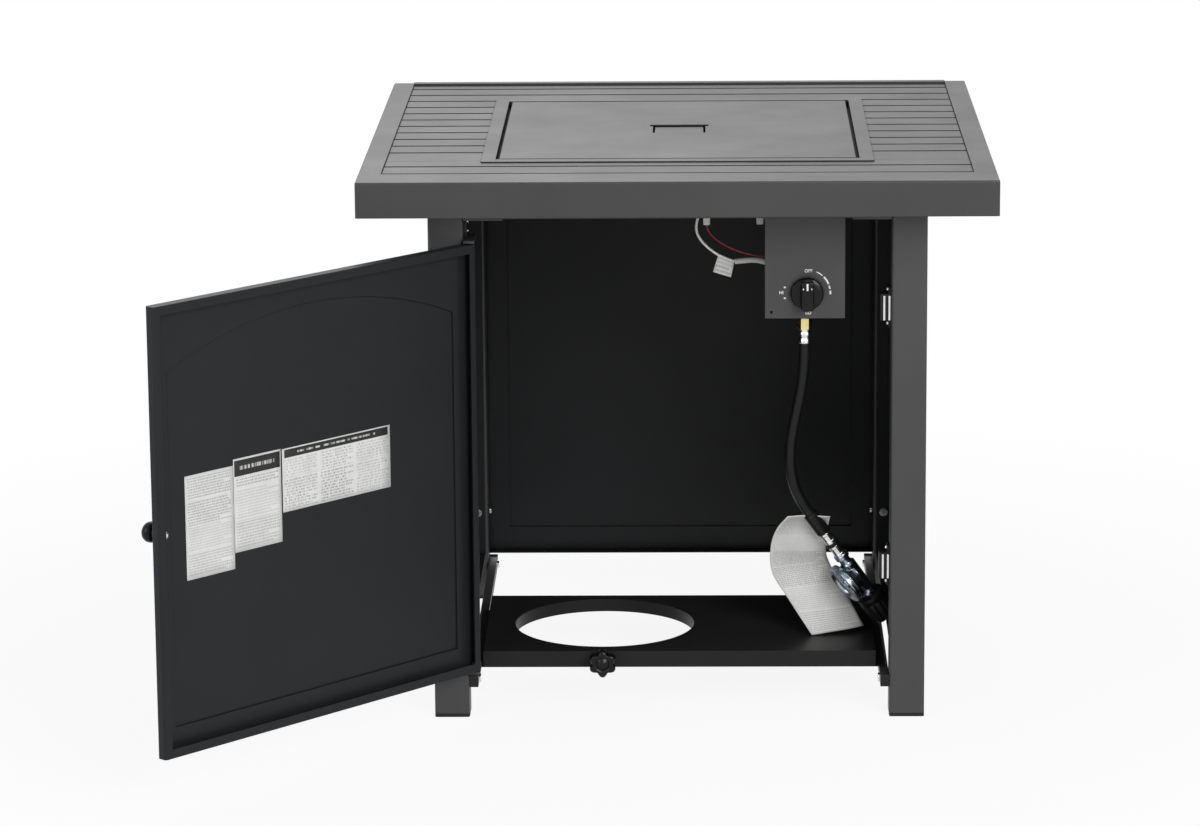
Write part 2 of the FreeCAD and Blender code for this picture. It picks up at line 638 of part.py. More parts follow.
def tube_path(route, bend=None):
    """Straight runs joined by tangent arcs. A free cord's arcs are as large as its runs allow."""
    points = [Vector(*point) for point in route]
    edges, radii = [], []
    start = points[0]
    for before, corner, after in zip(points, points[1:], points[2:]):
        into, out = (corner - before), (after - corner)
        half = into.getAngle(out) / 2
        shorter = min(into.Length, out.Length)
        radius = bend or 0.45 * shorter / math.tan(half)
        setback = radius * math.tan(half)
        first = corner - into.normalize() * setback
        last = corner + out.normalize() * setback
        inward = (out - into).normalize()
        middle = corner + inward * (radius / math.cos(half) - radius)
        edges.append(Part.LineSegment(start, first).toShape())
        edges.append(Part.Arc(first, middle, last).toShape())
        radii.append(radius)
        start = last
    edges.append(Part.LineSegment(start, points[-1]).toShape())
    return Part.Wire(edges), radii


def tube(label, route, radius, bend=None):
    """A round tube along a route, checked against its section times its length."""
    path, radii = tube_path(route, bend)
    first_run = Vector(*route[1]) - Vector(*route[0])
    section = Part.Wire(Part.makeCircle(radius, Vector(*route[0]), first_run))
    shape = path.makePipeShell([section], True, False)
    expected = math.pi * radius**2 * path.Length
    if abs(shape.Volume - expected) > 0.01 * expected:
        raise RuntimeError(f"{label} has the volume {shape.Volume:.0f}, not {expected:.0f}")
    words = ", ".join(f"{value:.0f}" for value in radii)
    print(f"{label}: length {path.Length:.1f}, radii {words}")
    return shape


# Tabletop


def make_top_frame():
    """The edge band, its boards, the turned-down lips and the flange under the band."""
    body = new_body("top_frame")
    half, bottom = "table_width / 2", "table_height - fascia_depth"
    pad(body, "top", bottom, "fascia_depth", rect(f"-{half}", f"-{half}", half, half))
    rounded(body, "frame_corner", upright)
    rounded(body, "frame_edge", level_edge(number("table_height")))
    inner = f"{half} - frame_gauge"
    pocket(body, "top", bottom, "fascia_depth - frame_gauge",
           rect(f"-({inner})", f"-({inner})", inner, inner))
    wide, front, rear = f"{half} - side_board", f"-{half} + front_board", f"{half} - back_board"
    lip_low = "table_height - board_lip"
    pad(body, "top", lip_low, "board_lip - frame_gauge / 2",
        rect(f"-({wide}) - frame_gauge", f"{front} - frame_gauge",
             f"{wide} + frame_gauge", f"{rear} + frame_gauge"))
    flange = f"{half} - return_flange"
    skirt = f"{half} - frame_gauge / 2"
    pad(body, "top", bottom, "frame_gauge",
        rect(f"-({skirt})", f"-({skirt})", skirt, skirt),
        rect(f"-({flange})", f"-({flange})", flange, flange))
    pocket(body, "top", lip_low, "board_lip", rect(f"-({wide})", front, wide, rear))
    pad(body, "top", "table_height - frame_gauge / 2", "back_rise + frame_gauge / 2",
        rect(f"-({wide})", rear, wide, f"{half} - frame_edge"))
    seat(body)


def groove(place):
    """The middle of a groove, counted in slats from the middle one."""
    return f"(slat_shift + {place} * slat_pitch)"


def make_slats(label, numbers, ends, *odd):
    """Folded slats between two ends: numbered ones, and odd ones by their front and rear edges."""
    body = new_body(label)
    top = "table_height - slat_drop"
    left, right = ends
    even = [(f"{groove(n - 0.5)} + slat_gap / 2", f"{groove(n + 0.5)} - slat_gap / 2") for n in numbers]
    outlines, hollows = [], []
    for front, rear in (*even, *odd):
        outlines.append(rect(left, front, right, rear))
        hollows.append(rect(left, f"{front} + slat_gauge", right, f"{rear} - slat_gauge"))
    pad(body, "top", f"{top} - slat_depth", "slat_depth", *outlines)
    pocket(body, "top", f"{top} - slat_depth", "slat_depth - slat_gauge", *hollows)
    seat(body)


def make_tabletop():
    """The frame, the slats that fill it and the tubes that carry the slats."""
    make_top_frame()
    end = "(table_width / 2 - side_board - slat_end_gap)"
    inner = "(rim_hole + bowl_gauge + slat_end_gap)"
    wide_front, last_front = f"{groove(-5.5)} + slat_gap / 2", f"{groove(6.5)} + slat_gap / 2"
    make_slats("slats_long", (-6, 5, 6), (f"-{end}", end),
               (wide_front, f"-{inner}"), (last_front, f"{last_front} + rear_slat"))
    wide_rear = (f"slat_end_gap - {inner}", f"{groove(-3.5)} - slat_gap / 2")
    make_slats("slats_left", range(-3, 5), (f"-{end}", f"-{inner}"), wide_rear)
    make_slats("slats_right", range(-3, 5), (inner, end), wide_rear)
    body = new_body("slat_bearers")
    low = "table_height - fascia_depth + frame_gauge"
    high = "table_height - slat_drop - slat_depth"
    outlines, hollows = [], []
    for middle in ("-bearer_outer", "-bearer_inner", "bearer_inner", "bearer_outer"):
        left, right = f"{middle} - bearer_width / 2", f"{middle} + bearer_width / 2"
        outlines.append(rect(left, low, right, high))
        hollows.append(rect(f"{left} + bearer_wall", f"{low} + bearer_wall",
                            f"{right} - bearer_wall", f"{high} - bearer_wall"))
    reach = "(table_width / 2 - frame_gauge)"
    pad(body, "front", f"-{reach}", f"2 * {reach}", *outlines)
    pocket(body, "front", f"-{reach}", f"2 * {reach}", *hollows)
    seat(body)


# Burner


def make_burner_pan():
    """The square rim on the slats, the ledge that carries the lid and the round bowl."""
    body = new_body("burner_pan")
    rim, hole = "(rim_width / 2)", "rim_hole"
    wall = f"({hole} + bowl_gauge)"
    ledge = "(table_height - lid_depth)"
    pad(body, "top", "table_height - rim_gauge", "rim_gauge", rect(f"-{rim}", f"-{rim}", rim, rim))
    rounded(body, "frame_corner", upright)
    pad(body, "top", f"{ledge} - bowl_gauge", "lid_depth - rim_gauge / 2 + bowl_gauge",
        rect(f"-{wall}", f"-{wall}", wall, wall))
    pad(body, "top", "bowl_bottom", f"{ledge} - bowl_bottom", disc("0", "0", "bowl_radius"))
    rounded(body, "bowl_corner", level_edge(number("bowl_bottom")))
    pocket(body, "top", ledge, "lid_depth", rect(f"-{hole}", f"-{hole}", hole, hole))
    inner = "bowl_radius - bowl_gauge"
    pocket(body, "top", "bowl_bottom + bowl_corner", f"{ledge} - bowl_bottom - bowl_corner",
           disc("0", "0", inner))
    pocket(body, "top", "bowl_bottom + bowl_gauge", "bowl_corner - bowl_gauge",
           disc("0", "0", "bowl_radius - bowl_corner"))
    pocket(body, "top", "bowl_bottom - 1", "bowl_gauge + 2",
           disc("0", "0", "fitting_radius + running_gap"),
           disc("igniter_x", "igniter_y", "probe_radius + running_gap"),
           disc("sensor_x", "sensor_y", "probe_radius + running_gap"))
    seat(body)


def make_lid():
    """The lid with its finger tab, which is bent down from the tab's front edge."""
    body = new_body("lid")
    half = "(rim_hole - lid_gap)"
    low = "table_height - lid_depth"
    pad(body, "top", low, "lid_depth", rect(f"-{half}", f"-{half}", half, half))
    rounded(body, "lid_corner", upright)
    rounded(body, "lid_edge", level_edge(number("table_height")))
    inner = f"({half} - lid_gauge)"
    pocket(body, "top", low, "lid_depth - lid_gauge", rect(f"-{inner}", f"-{inner}", inner, inner))
    left, right = "grip_left", "grip_left + grip_hole_x"
    front, rear = "grip_front", "grip_front + grip_hole_y"
    pocket(body, "top", "table_height - lid_depth / 2", "lid_depth",
           rect(left, front, right, f"{rear} - grip_wing_depth / 2"))
    pocket(body, "top", "table_height - lid_depth / 2", "lid_depth",
           rect(f"{left} - grip_wing", f"{rear} - grip_wing_depth", f"{right} + grip_wing", rear))
    sheet_top, sheet_low = "table_height", "table_height - lid_gauge"
    end = f"{rear} - grip_slot"
    profile = loop((f"{front} - 1", sheet_low), (front, sheet_low), (end, f"{sheet_low} - grip_drop"),
                   (end, f"{sheet_top} - grip_drop"), (front, sheet_top), (f"{front} - 1", sheet_top))
    pad(body, "side", f"{left} + grip_side", "grip_hole_x - 2 * grip_side", profile)
    seat(body)


def make_burner():
    """The ring burner on its hub, the inlet under the bowl, the igniter and the flame sensor."""
    body = new_body("burner_ring")
    foot = "bowl_bottom + bowl_gauge"
    pad(body, "top", foot, "burner_height + burner_tube - bowl_bottom - bowl_gauge",
        disc("0", "0", "burner_hub"))
    pad(body, "side", "-burner_radius", "2 * burner_radius", disc("0", "burner_height", "burner_arm"))
    drawing = sketch_on(body, "front", "0", [disc("burner_radius", "burner_height", "burner_tube")])
    ring = body.newObject("PartDesign::Revolution", "Revolution")
    ring.Profile = drawing
    ring.ReferenceAxis = (drawing, ["V_Axis"])
    ring.Angle = 360
    pocket(body, "top", foot, "fitting_reach", disc("0", "0", "fitting_radius + running_gap"))
    seat(body)

    valve = Vector(number("valve_x"), number("feed_y"), 0)
    flat = math.degrees(math.atan2(valve.y, valve.x)) + 30
    inlet = new_body("burner_inlet")
    pad(inlet, "top", "bowl_bottom - inlet_tall", "inlet_tall", hexagon("0", "0", "inlet_flats", flat))
    pad(inlet, "top", "bowl_bottom", "bowl_gauge + fitting_reach", disc("0", "0", "fitting_radius"))
    seat(inlet)

    for label, across, along, tail in (
        ("igniter", "igniter_x", "igniter_y", "igniter_tail"),
        ("flame_sensor", "sensor_x", "sensor_y", "sensor_tail"),
    ):
        probe = new_body(label)
        low, seat_height = f"bowl_bottom - {tail}", "bowl_bottom + bowl_gauge"
        turned(probe, ("0", low), ("probe_radius", low), ("probe_radius", seat_height),
               ("2 * probe_radius", seat_height), ("2 * probe_radius", f"{seat_height} + probe_radius"),
               ("probe_radius", f"{seat_height} + probe_radius"),
               ("probe_radius", f"{seat_height} + probe_height - probe_radius"),
               ("probe_radius / 3", f"{seat_height} + probe_height"),
               ("0", f"{seat_height} + probe_height"))
        seat(probe, across, along)

    up = Vector(0, 0, 1)
    start, level = number("valve_top"), number("burner_inlet_height")
    level_start = valve * number("feed_share") + up * level
    stop = valve * (number("inlet_flats") / 2 / valve.Length) + up * level
    route = (valve + up * start, valve + up * ((start + level) / 2), level_start, stop)
    solid_piece("feed_tube", [tube("feed_tube", route, number("feed_radius"), number("feed_bend"))])


# Cabinet frame and panels


def make_leg(label, side, depth, across_holes, along_holes):
    """A square leg. The holes lie in the two walls that face the cabinet's inside."""
    body = new_body(label)
    half, hollow = "leg_size / 2", "(leg_size / 2 - leg_wall)"
    tall = "leg_top - glide_base"
    pad(body, "top", "glide_base", tall, rect(f"-{half}", f"-{half}", half, half))
    rounded(body, "leg_corner", upright)
    pocket(body, "top", "glide_base", tall, rect(f"-{hollow}", f"-{hollow}", hollow, hollow))
    for view, sign, other, holes in (
        ("side", side, depth, across_holes), ("front", depth, side, along_holes)
    ):
        start = "-leg_size / 2 - 0.5" if sign > 0 else "leg_size / 2 - leg_wall - 0.5"
        discs = [disc(f"{place} - {other} * leg_middle", height, f"{radius} + running_gap")
                 for place, height, radius in holes]
        pocket(body, view, start, "leg_wall + 1", *discs)
    seat(body, f"{side} * leg_middle", f"{depth} * leg_middle")


def make_legs():
    """Four legs with the holes for panels, tray rails, hinges and catches, and their glides."""
    heights = ("panel_bolt_low", "panel_bolt_high")
    for label, side, depth in (
        ("leg_front_left", -1, -1), ("leg_front_right", 1, -1),
        ("leg_rear_left", -1, 1), ("leg_rear_right", 1, 1),
    ):
        rail_bolt = "rail_bolt_rear" if depth > 0 else "rail_bolt_front"
        across = [(rail_bolt, "rail_bolt_height", "bolt_radius")]
        if depth > 0:
            across += [("panel_bolt_line", height, "bolt_radius") for height in heights]
        elif side > 0:
            across += [("catch_middle", height, "small_screw") for height in CATCH_SCREWS]
        else:
            across += [("hinge_screw_line", height, "small_screw") for height in HINGE_SCREWS]
        along = [(f"{side} * panel_bolt_line", height, "bolt_radius") for height in heights]
        make_leg(label, side, depth, across, along)
    body = new_body("leg_glides")
    bases, plugs = [], []
    plug = "(leg_size / 2 - leg_wall - seat_gap)"
    for side in (-1, 1):
        for depth in (-1, 1):
            x, y = f"{side} * leg_middle", f"{depth} * leg_middle"
            bases.append(rect(f"{x} - leg_size / 2", f"{y} - leg_size / 2",
                              f"{x} + leg_size / 2", f"{y} + leg_size / 2"))
            plugs.append(rect(f"{x} - {plug}", f"{y} - {plug}", f"{x} + {plug}", f"{y} + {plug}"))
    pad(body, "top", "0", "glide_base", *bases)
    rounded(body, "leg_corner", upright)
    pad(body, "top", "glide_base", "glide_plug", *plugs)
    seat(body)


def make_upper_rail(label, turn, corner_plates=False, screw_holes=False):
    """A tube between two legs, drawn at the front and turned to its side of the cabinet."""
    body = new_body(label)
    reach, front, rear = "leg_inner", "-leg_span / 2", "-leg_inner"
    low, high = "rail_low", "leg_top"
    pad(body, "side", f"-{reach}", f"2 * {reach}", rect(front, low, rear, high))
    pocket(body, "side", f"-{reach}", f"2 * {reach}",
           rect(f"{front} + rail_wall", f"{low} + rail_wall",
                f"{rear} - rail_wall", f"{high} - rail_wall"))
    if corner_plates:
        pad(body, "top", f"{low} - gusset_gauge", "gusset_gauge",
            rect(f"-{reach}", front, f"-{reach} + gusset_reach", rear),
            rect(f"{reach} - gusset_reach", front, reach, rear))
    if screw_holes:
        pocket(body, "front", f"{rear} - rail_wall - 0.5", "rail_wall + 1",
               *[disc(place, "plate_screw_height", "small_screw + running_gap")
                 for place in PLATE_SCREWS])
    seat(body, rotation=Rotation(Vector(0, 0, 1), turn))


def make_panel(label, turn):
    """A fixed panel with folded edges and an arched pressing, drawn at the back and turned."""
    body = new_body(label)
    half, low, high = "leg_inner", "panel_bottom", "rail_low"
    skin = "panel_inner"
    pad(body, "front", f"{skin} - panel_flange", "panel_flange + panel_gauge",
        rect(f"-{half}", low, half, high))
    pocket(body, "front", f"{skin} - panel_flange", "panel_flange",
           rect(f"-{half} + panel_gauge", f"{low} + panel_gauge",
                f"{half} - panel_gauge", f"{high} - panel_gauge"))
    upright_run = (low, f"{high} - pressing_shoulder")
    press_pan(body, "0", f"({half} - pressing_inset)", upright_run, f"{skin} + panel_gauge", 1)
    pocket(body, "side", f"-{half} - 1", f"2 * {half} + 2",
           *[disc("panel_bolt_line", height, "bolt_radius + running_gap")
             for height in ("panel_bolt_low", "panel_bolt_high")])
    seat(body, rotation=Rotation(Vector(0, 0, 1), turn))


def press_pan(body, middle, half, upright_run, face, outward):
    """Raise an arched field of a pan's skin. The face is the skin's outer face."""
    low, spring = upright_run
    foot = f"{low} + pressing_foot"
    if outward > 0:
        raised, hollow = face, f"{face} - panel_gauge"
    else:
        raised, hollow = f"{face} - pressing_depth", f"{face} + panel_gauge - pressing_depth"
    pad(body, "front", raised, "pressing_depth",
        arch(middle, half, foot, spring, "pressing_rise"))
    pocket(body, "front", hollow, "pressing_depth",
           arch(middle, f"({half} - panel_gauge)", f"{foot} + panel_gauge",
                spring, "(pressing_rise - panel_gauge)"))


# Door


def make_door():
    """The door, its pull knob with screw and its labels, drawn closed about the hinge pins."""
    turn = Rotation(Vector(0, 0, 1), -number("door_angle"))
    pivot = ("-leg_inner + pivot_inset", "-leg_span / 2")
    body = new_body("door_panel")
    left, right, low, high = "door_left", "door_right", "door_bottom", "door_top"
    face, back = "-door_proud", "(door_flange - door_proud)"
    gauge, lip = "panel_gauge", "door_lip"
    pad(body, "front", face, "door_flange", rect(left, low, right, high))
    rounded(body, "door_corner", upright)
    pocket(body, "front", f"{back} - {gauge} - 0.5", f"{gauge} + 1",
           rect(f"{left} + {lip}", f"{low} + {lip}", f"{right} - {lip}", f"{high} - {lip}"))
    pocket(body, "front", f"{face} + {gauge}", f"door_flange - 2 * {gauge}",
           rect(f"{left} + {gauge}", f"{low} + {gauge}", f"{right} - {gauge}", f"{high} - {gauge}"))
    middle, half = f"({left} + {right}) / 2", f"(({right} - {left}) / 2 - pressing_inset)"
    press_pan(body, middle, half, (low, f"{high} - door_shoulder"), face, -1)
    pocket(body, "top", f"{low} - 1", "door_height + 2", disc("0", "0", "pin_radius + running_gap"))
    pull = "pull_place"
    pocket(body, "front", f"{face} - 1", f"{gauge} + 2",
           disc(pull, "pull_height", "pull_screw + running_gap"))
    seat(body, *pivot, rotation=turn)

    knob = new_body("door_knob")
    bore = "pull_screw"
    turned(knob, (bore, "0"), ("pull_neck + 1.5", "0"), ("pull_neck + 1.5", "2"), ("pull_neck", "3.5"),
           ("pull_neck", "pull_length / 2 - 1"), ("pull_radius - 2", "pull_length / 2 + 1.5"),
           ("pull_radius", "pull_length / 2 + 4.5"), ("pull_radius", "pull_length - 6"),
           ("pull_radius - 2.5", "pull_length - 2"), ("pull_radius - 6.5", "pull_length"),
           ("0", "pull_length"), ("0", "pull_bore"), (bore, "pull_bore"))
    at_door(knob, pull, face, "pull_height", Vector(0, -1, 0), pivot, turn)

    fixing = new_body("door_knob_screw")
    turned(fixing, ("0", "-2.5"), ("2", "-2.5"), ("4.5", "-1"), ("4.5", "0"), ("pull_screw", "0"),
           ("pull_screw", "pull_bore"), ("0", "pull_bore"))
    at_door(fixing, pull, f"{face} + {gauge}", "pull_height", Vector(0, -1, 0), pivot, turn)

    labels = new_body("door_labels")
    skin = f"{face} - pressing_depth + {gauge}"
    pad(labels, "front", skin, "label_gauge",
        *[rect(start, f"{low} + {rise}", f"{start} + {width}", f"{low} + {rise} + {tall}")
          for start, width, rise, tall in LABELS])
    seat(labels, *pivot, rotation=turn)


def at_door(piece, along_door, through, height, way, pivot, turn):
    """Place a turned piece on the open door, with its own Z along a direction of the closed door."""
    piece.Placement = Placement(Vector(), turn.multiply(facing(way, Vector(0, 0, 1))))
    angle = "door_angle"
    x, y = pivot
    seat(piece, f"{x} + ({along_door}) * cos({angle}) + ({through}) * sin({angle})",
         f"{y} - ({along_door}) * sin({angle}) + ({through}) * cos({angle})", height)


def make_hinge_bracket(label, low, pin_low, washer=False):
    """A bent bracket on the left leg with its pin, which the door turns on."""
    body = new_body(label)
    left, front = "-leg_inner", "-leg_span / 2 - pivot_inset"
    pad(body, "top", low, "hinge_tab", rect(left, front, f"{left} + hinge_side", "hinge_rear"))
    pad(body, "top", low, "hinge_flange",
        rect(left, "hinge_rear - hinge_foot", f"{left} + hinge_tab", "hinge_rear"))
    pin_place = ("-leg_inner + pivot_inset", "-leg_span / 2")
    pad(body, "top", pin_low, "pin_reach + hinge_gap + hinge_tab / 2", disc(*pin_place, "pin_radius"))
    if washer:
        pad(body, "top", f"{low} + hinge_tab", "hinge_gap", disc(*pin_place, "pin_radius + 2"))
    heights = HINGE_SCREWS[2:] if washer else HINGE_SCREWS[:2]
    pocket(body, "side", f"{left} - 1", "hinge_tab + 2",
           *[disc("hinge_screw_line", height, "small_screw + running_gap") for height in heights])
    seat(body)


def make_catch(label, middle):
    """A magnet catch's housing with its two screw ears, on the right leg."""
    body = new_body(label)
    face, right = "leg_inner", "leg_inner"
    front, rear = "catch_front", "catch_front + catch_depth"
    tall, ear = "catch_height / 2", "(catch_height / 2 + catch_ear)"
    pad(body, "top", f"{middle} - {tall}", "catch_height", rect(f"{face} - catch_width", front, right, rear))
    pad(body, "top", f"{middle} - {ear}", f"2 * {ear}",
        rect(f"{face} - catch_ear_gauge", front, right, rear))
    holes = [disc("catch_middle", f"{middle} + {sign} * (catch_height / 2 + catch_ear / 2)",
                  "small_screw + running_gap") for sign in (-1, 1)]
    pocket(body, "side", f"{face} - catch_ear_gauge - 1", "catch_ear_gauge + 2", *holes)
    seat(body)


def make_catch_poles():
    """Two steel pole plates in front of each magnet."""
    body = new_body("catch_poles")
    outlines = []
    for middle in ("catch_high", "catch_low"):
        for left in ("leg_inner - catch_width + 3", "leg_inner - pole_gauge - 1"):
            outlines.append(rect(left, f"{middle} - pole_height / 2",
                                 f"{left} + pole_gauge", f"{middle} + pole_height / 2"))
    pad(body, "front", "catch_front - catch_setback + pole_gap", "catch_setback - pole_gap", *outlines)
    seat(body)


# Fasteners


def add_screws(body, view, face, inward, grip, head, shank, places):
    """Screw heads on a face, and shanks that run from it along the view's axis, or against it."""
    radius, depth = head
    if inward > 0:
        head_start, shank_start = f"({face}) - ({depth})", face
    else:
        head_start, shank_start = face, f"({face}) - ({grip})"
    pad(body, view, head_start, depth, *[disc(*place, radius) for place in places])
    pad(body, view, shank_start, grip, *[disc(*place, shank) for place in places])


def make_fasteners():
    """The bolts of panels and tray rails, and the small screws of hinges, catches and plate."""
    bolts = new_body("frame_bolts")
    head, shank = ("bolt_head", "bolt_head_depth"), "bolt_radius"
    heights = ("panel_bolt_low", "panel_bolt_high")
    inner = "(leg_inner - panel_gauge)"
    for sign in (-1, 1):
        add_screws(bolts, "side", f"{sign} * {inner}", sign, "bolt_grip", head, shank,
                   [("panel_bolt_line", height) for height in heights])
        add_screws(bolts, "front", f"{sign} * {inner}", sign, "bolt_grip", head, shank,
                   [(f"{side} * panel_bolt_line", height) for height in heights for side in (-1, 1)])
        add_screws(bolts, "side", f"{sign} * (leg_inner - tray_rail_width)", sign,
                   "bolt_grip + tray_rail_width", head, shank,
                   [(place, "rail_bolt_height") for place in ("rail_bolt_front", "rail_bolt_rear")])
    seat(bolts)

    screws = new_body("small_screws")
    head, shank = ("small_head", "small_head_depth"), "small_screw"
    add_screws(screws, "side", "-leg_inner + hinge_tab", -1, "screw_grip", head, shank,
               [("hinge_screw_line", height) for height in HINGE_SCREWS])
    add_screws(screws, "side", "leg_inner - catch_ear_gauge", 1, "screw_grip", head, shank,
               [("catch_middle", height) for height in CATCH_SCREWS])
    add_screws(screws, "front", "-leg_inner + panel_gauge", -1, "screw_grip", head, shank,
               [(place, "plate_screw_height") for place in PLATE_SCREWS])
    seat(screws)


# Tank tray


def make_tray_rail(label, side):
    """A tube along the cabinet's floor that a lip of the tank tray slides on."""
    body = new_body(label)
    outer, inner = f"{side} * leg_inner", f"{side} * (leg_inner - tray_rail_width)"
    left, right = (outer, inner) if side < 0 else (inner, outer)
    low, high, wall = "tray_rail_top - tray_rail_height", "tray_rail_top", "tray_rail_wall"
    long = "tray_rail_rear - (tray_rail_front)"
    pad(body, "front", "tray_rail_front", long, rect(left, low, right, high))
    pocket(body, "front", "tray_rail_front", long,
           rect(f"{left} + {wall}", f"{low} + {wall}", f"{right} - {wall}", f"{high} - {wall}"))
    pocket(body, "side", f"{left} - 1", "tray_rail_width + 2",
           *[disc(place, "rail_bolt_height", "bolt_radius + running_gap")
             for place in ("rail_bolt_front", "rail_bolt_rear")])
    seat(body)


def make_rail_plugs():
    """End plugs of the tray rails. Their heads stand above the rails and stop the tray."""
    body = new_body("rail_plugs")
    low, high, gap = "tray_rail_top - tray_rail_height", "tray_rail_top", "tray_rail_wall + seat_gap"
    heads, shanks = [], []
    for side in (-1, 1):
        outer, inner = f"{side} * leg_inner", f"{side} * (leg_inner - tray_rail_width)"
        left, right = (outer, inner) if side < 0 else (inner, outer)
        heads.append(rect(left, low, right, f"{high} + plug_stop"))
        shanks.append(rect(f"{left} + {gap}", f"{low} + {gap}", f"{right} - ({gap})", f"{high} - ({gap})"))
    pad(body, "front", "tray_rail_front - plug_head", "plug_head", *heads)
    pad(body, "front", "tray_rail_front", "plug_shank", *shanks)
    pad(body, "front", "tray_rail_rear", "plug_head", *heads)
    pad(body, "front", "tray_rail_rear - plug_shank", "plug_shank", *shanks)
    seat(body)


def make_tank_tray():
    """The folded tray with its sliding lips, the collared tank hole and the welded nut."""
    body = new_body("tank_tray")
    half, front, rear = "tray_width / 2", "tray_front", "tray_front + tray_depth"
    low, gauge = "tray_rail_top", "tray_gauge"
    pad(body, "top", low, "tray_height", rect(f"-{half}", front, half, rear))
    pocket(body, "top", low, f"tray_height - {gauge}",
           rect(f"-{half} + {gauge}", f"{front} + {gauge}", f"{half} - {gauge}", f"{rear} - {gauge}"))
    pad(body, "top", low, gauge,
        rect(f"-{half} - tray_lip", front, f"-{half} + {gauge}", rear),
        rect(f"{half} - {gauge}", front, f"{half} + tray_lip", rear))
    pad(body, "top", f"{low} + tray_height - collar_depth", f"collar_depth - {gauge} / 2",
        disc("tank_x", "tank_y", f"tank_radius + {gauge}"))
    pad(body, "front", f"{front} + {gauge}", "nut_depth",
        hexagon("tank_x", "screw_height", "nut_width"))
    pocket(body, "top", f"{low} - 1", "tray_height + 2", disc("tank_x", "tank_y", "tank_radius"))
    pocket(body, "front", f"{front} - 1", f"{gauge} + 1",
           disc("tank_x", "screw_height", "screw_radius + screw_hole_gap"))
    pocket(body, "front", f"{front} + {gauge}", "nut_depth + 1",
           disc("tank_x", "screw_height", "screw_radius + running_gap"))
    pocket(body, "front", f"{front} + {gauge} + nut_depth + 1", "tank_radius",
           disc("tank_x", "screw_height", "pad_radius + screw_hole_gap"))
    seat(body)


def make_tank_screw():
    """The screw that clamps the tank's foot: bolt, star knob and swivel pad."""
    knob_back = "(tray_front - screw_rest)"
    tip = "(tray_front + screw_tip)"
    bolt = new_body("tank_screw_bolt")
    pad(bolt, "front", f"{knob_back} - star_bore", f"{tip} - {knob_back} + star_bore",
        disc("tank_x", "screw_height", "screw_radius"))
    seat(bolt)

    tip_pad = new_body("tank_screw_pad")
    pad(tip_pad, "front", tip, "pad_depth", disc("tank_x", "screw_height", "pad_radius"))
    seat(tip_pad)

    knob = new_body("tank_screw_knob")
    pad(knob, "top", "0", "star_depth", disc("0", "0", "star_core"))
    lobe = pad(knob, "top", "0", "star_depth", disc("0", "star_radius - star_lobe", "star_lobe"))
    ring = knob.newObject("PartDesign::PolarPattern", "Lobes")
    ring.Originals = [lobe]
    axis = next(item for item in knob.Origin.OriginFeatures if item.Role == "Z_Axis")
    ring.Axis = (axis, [""])
    ring.Angle = 360
    ring.setExpression("Occurrences", formula("star_lobes"))
    knob.Tip = ring
    rounded(knob, "star_edge", level_edge(number("star_depth")))
    pocket(knob, "top", "0", "star_bore", disc("0", "0", "screw_radius"))
    seat(knob, "tank_x", knob_back, "screw_height", rotation=TO_FRONT)


# Gas valve and controls


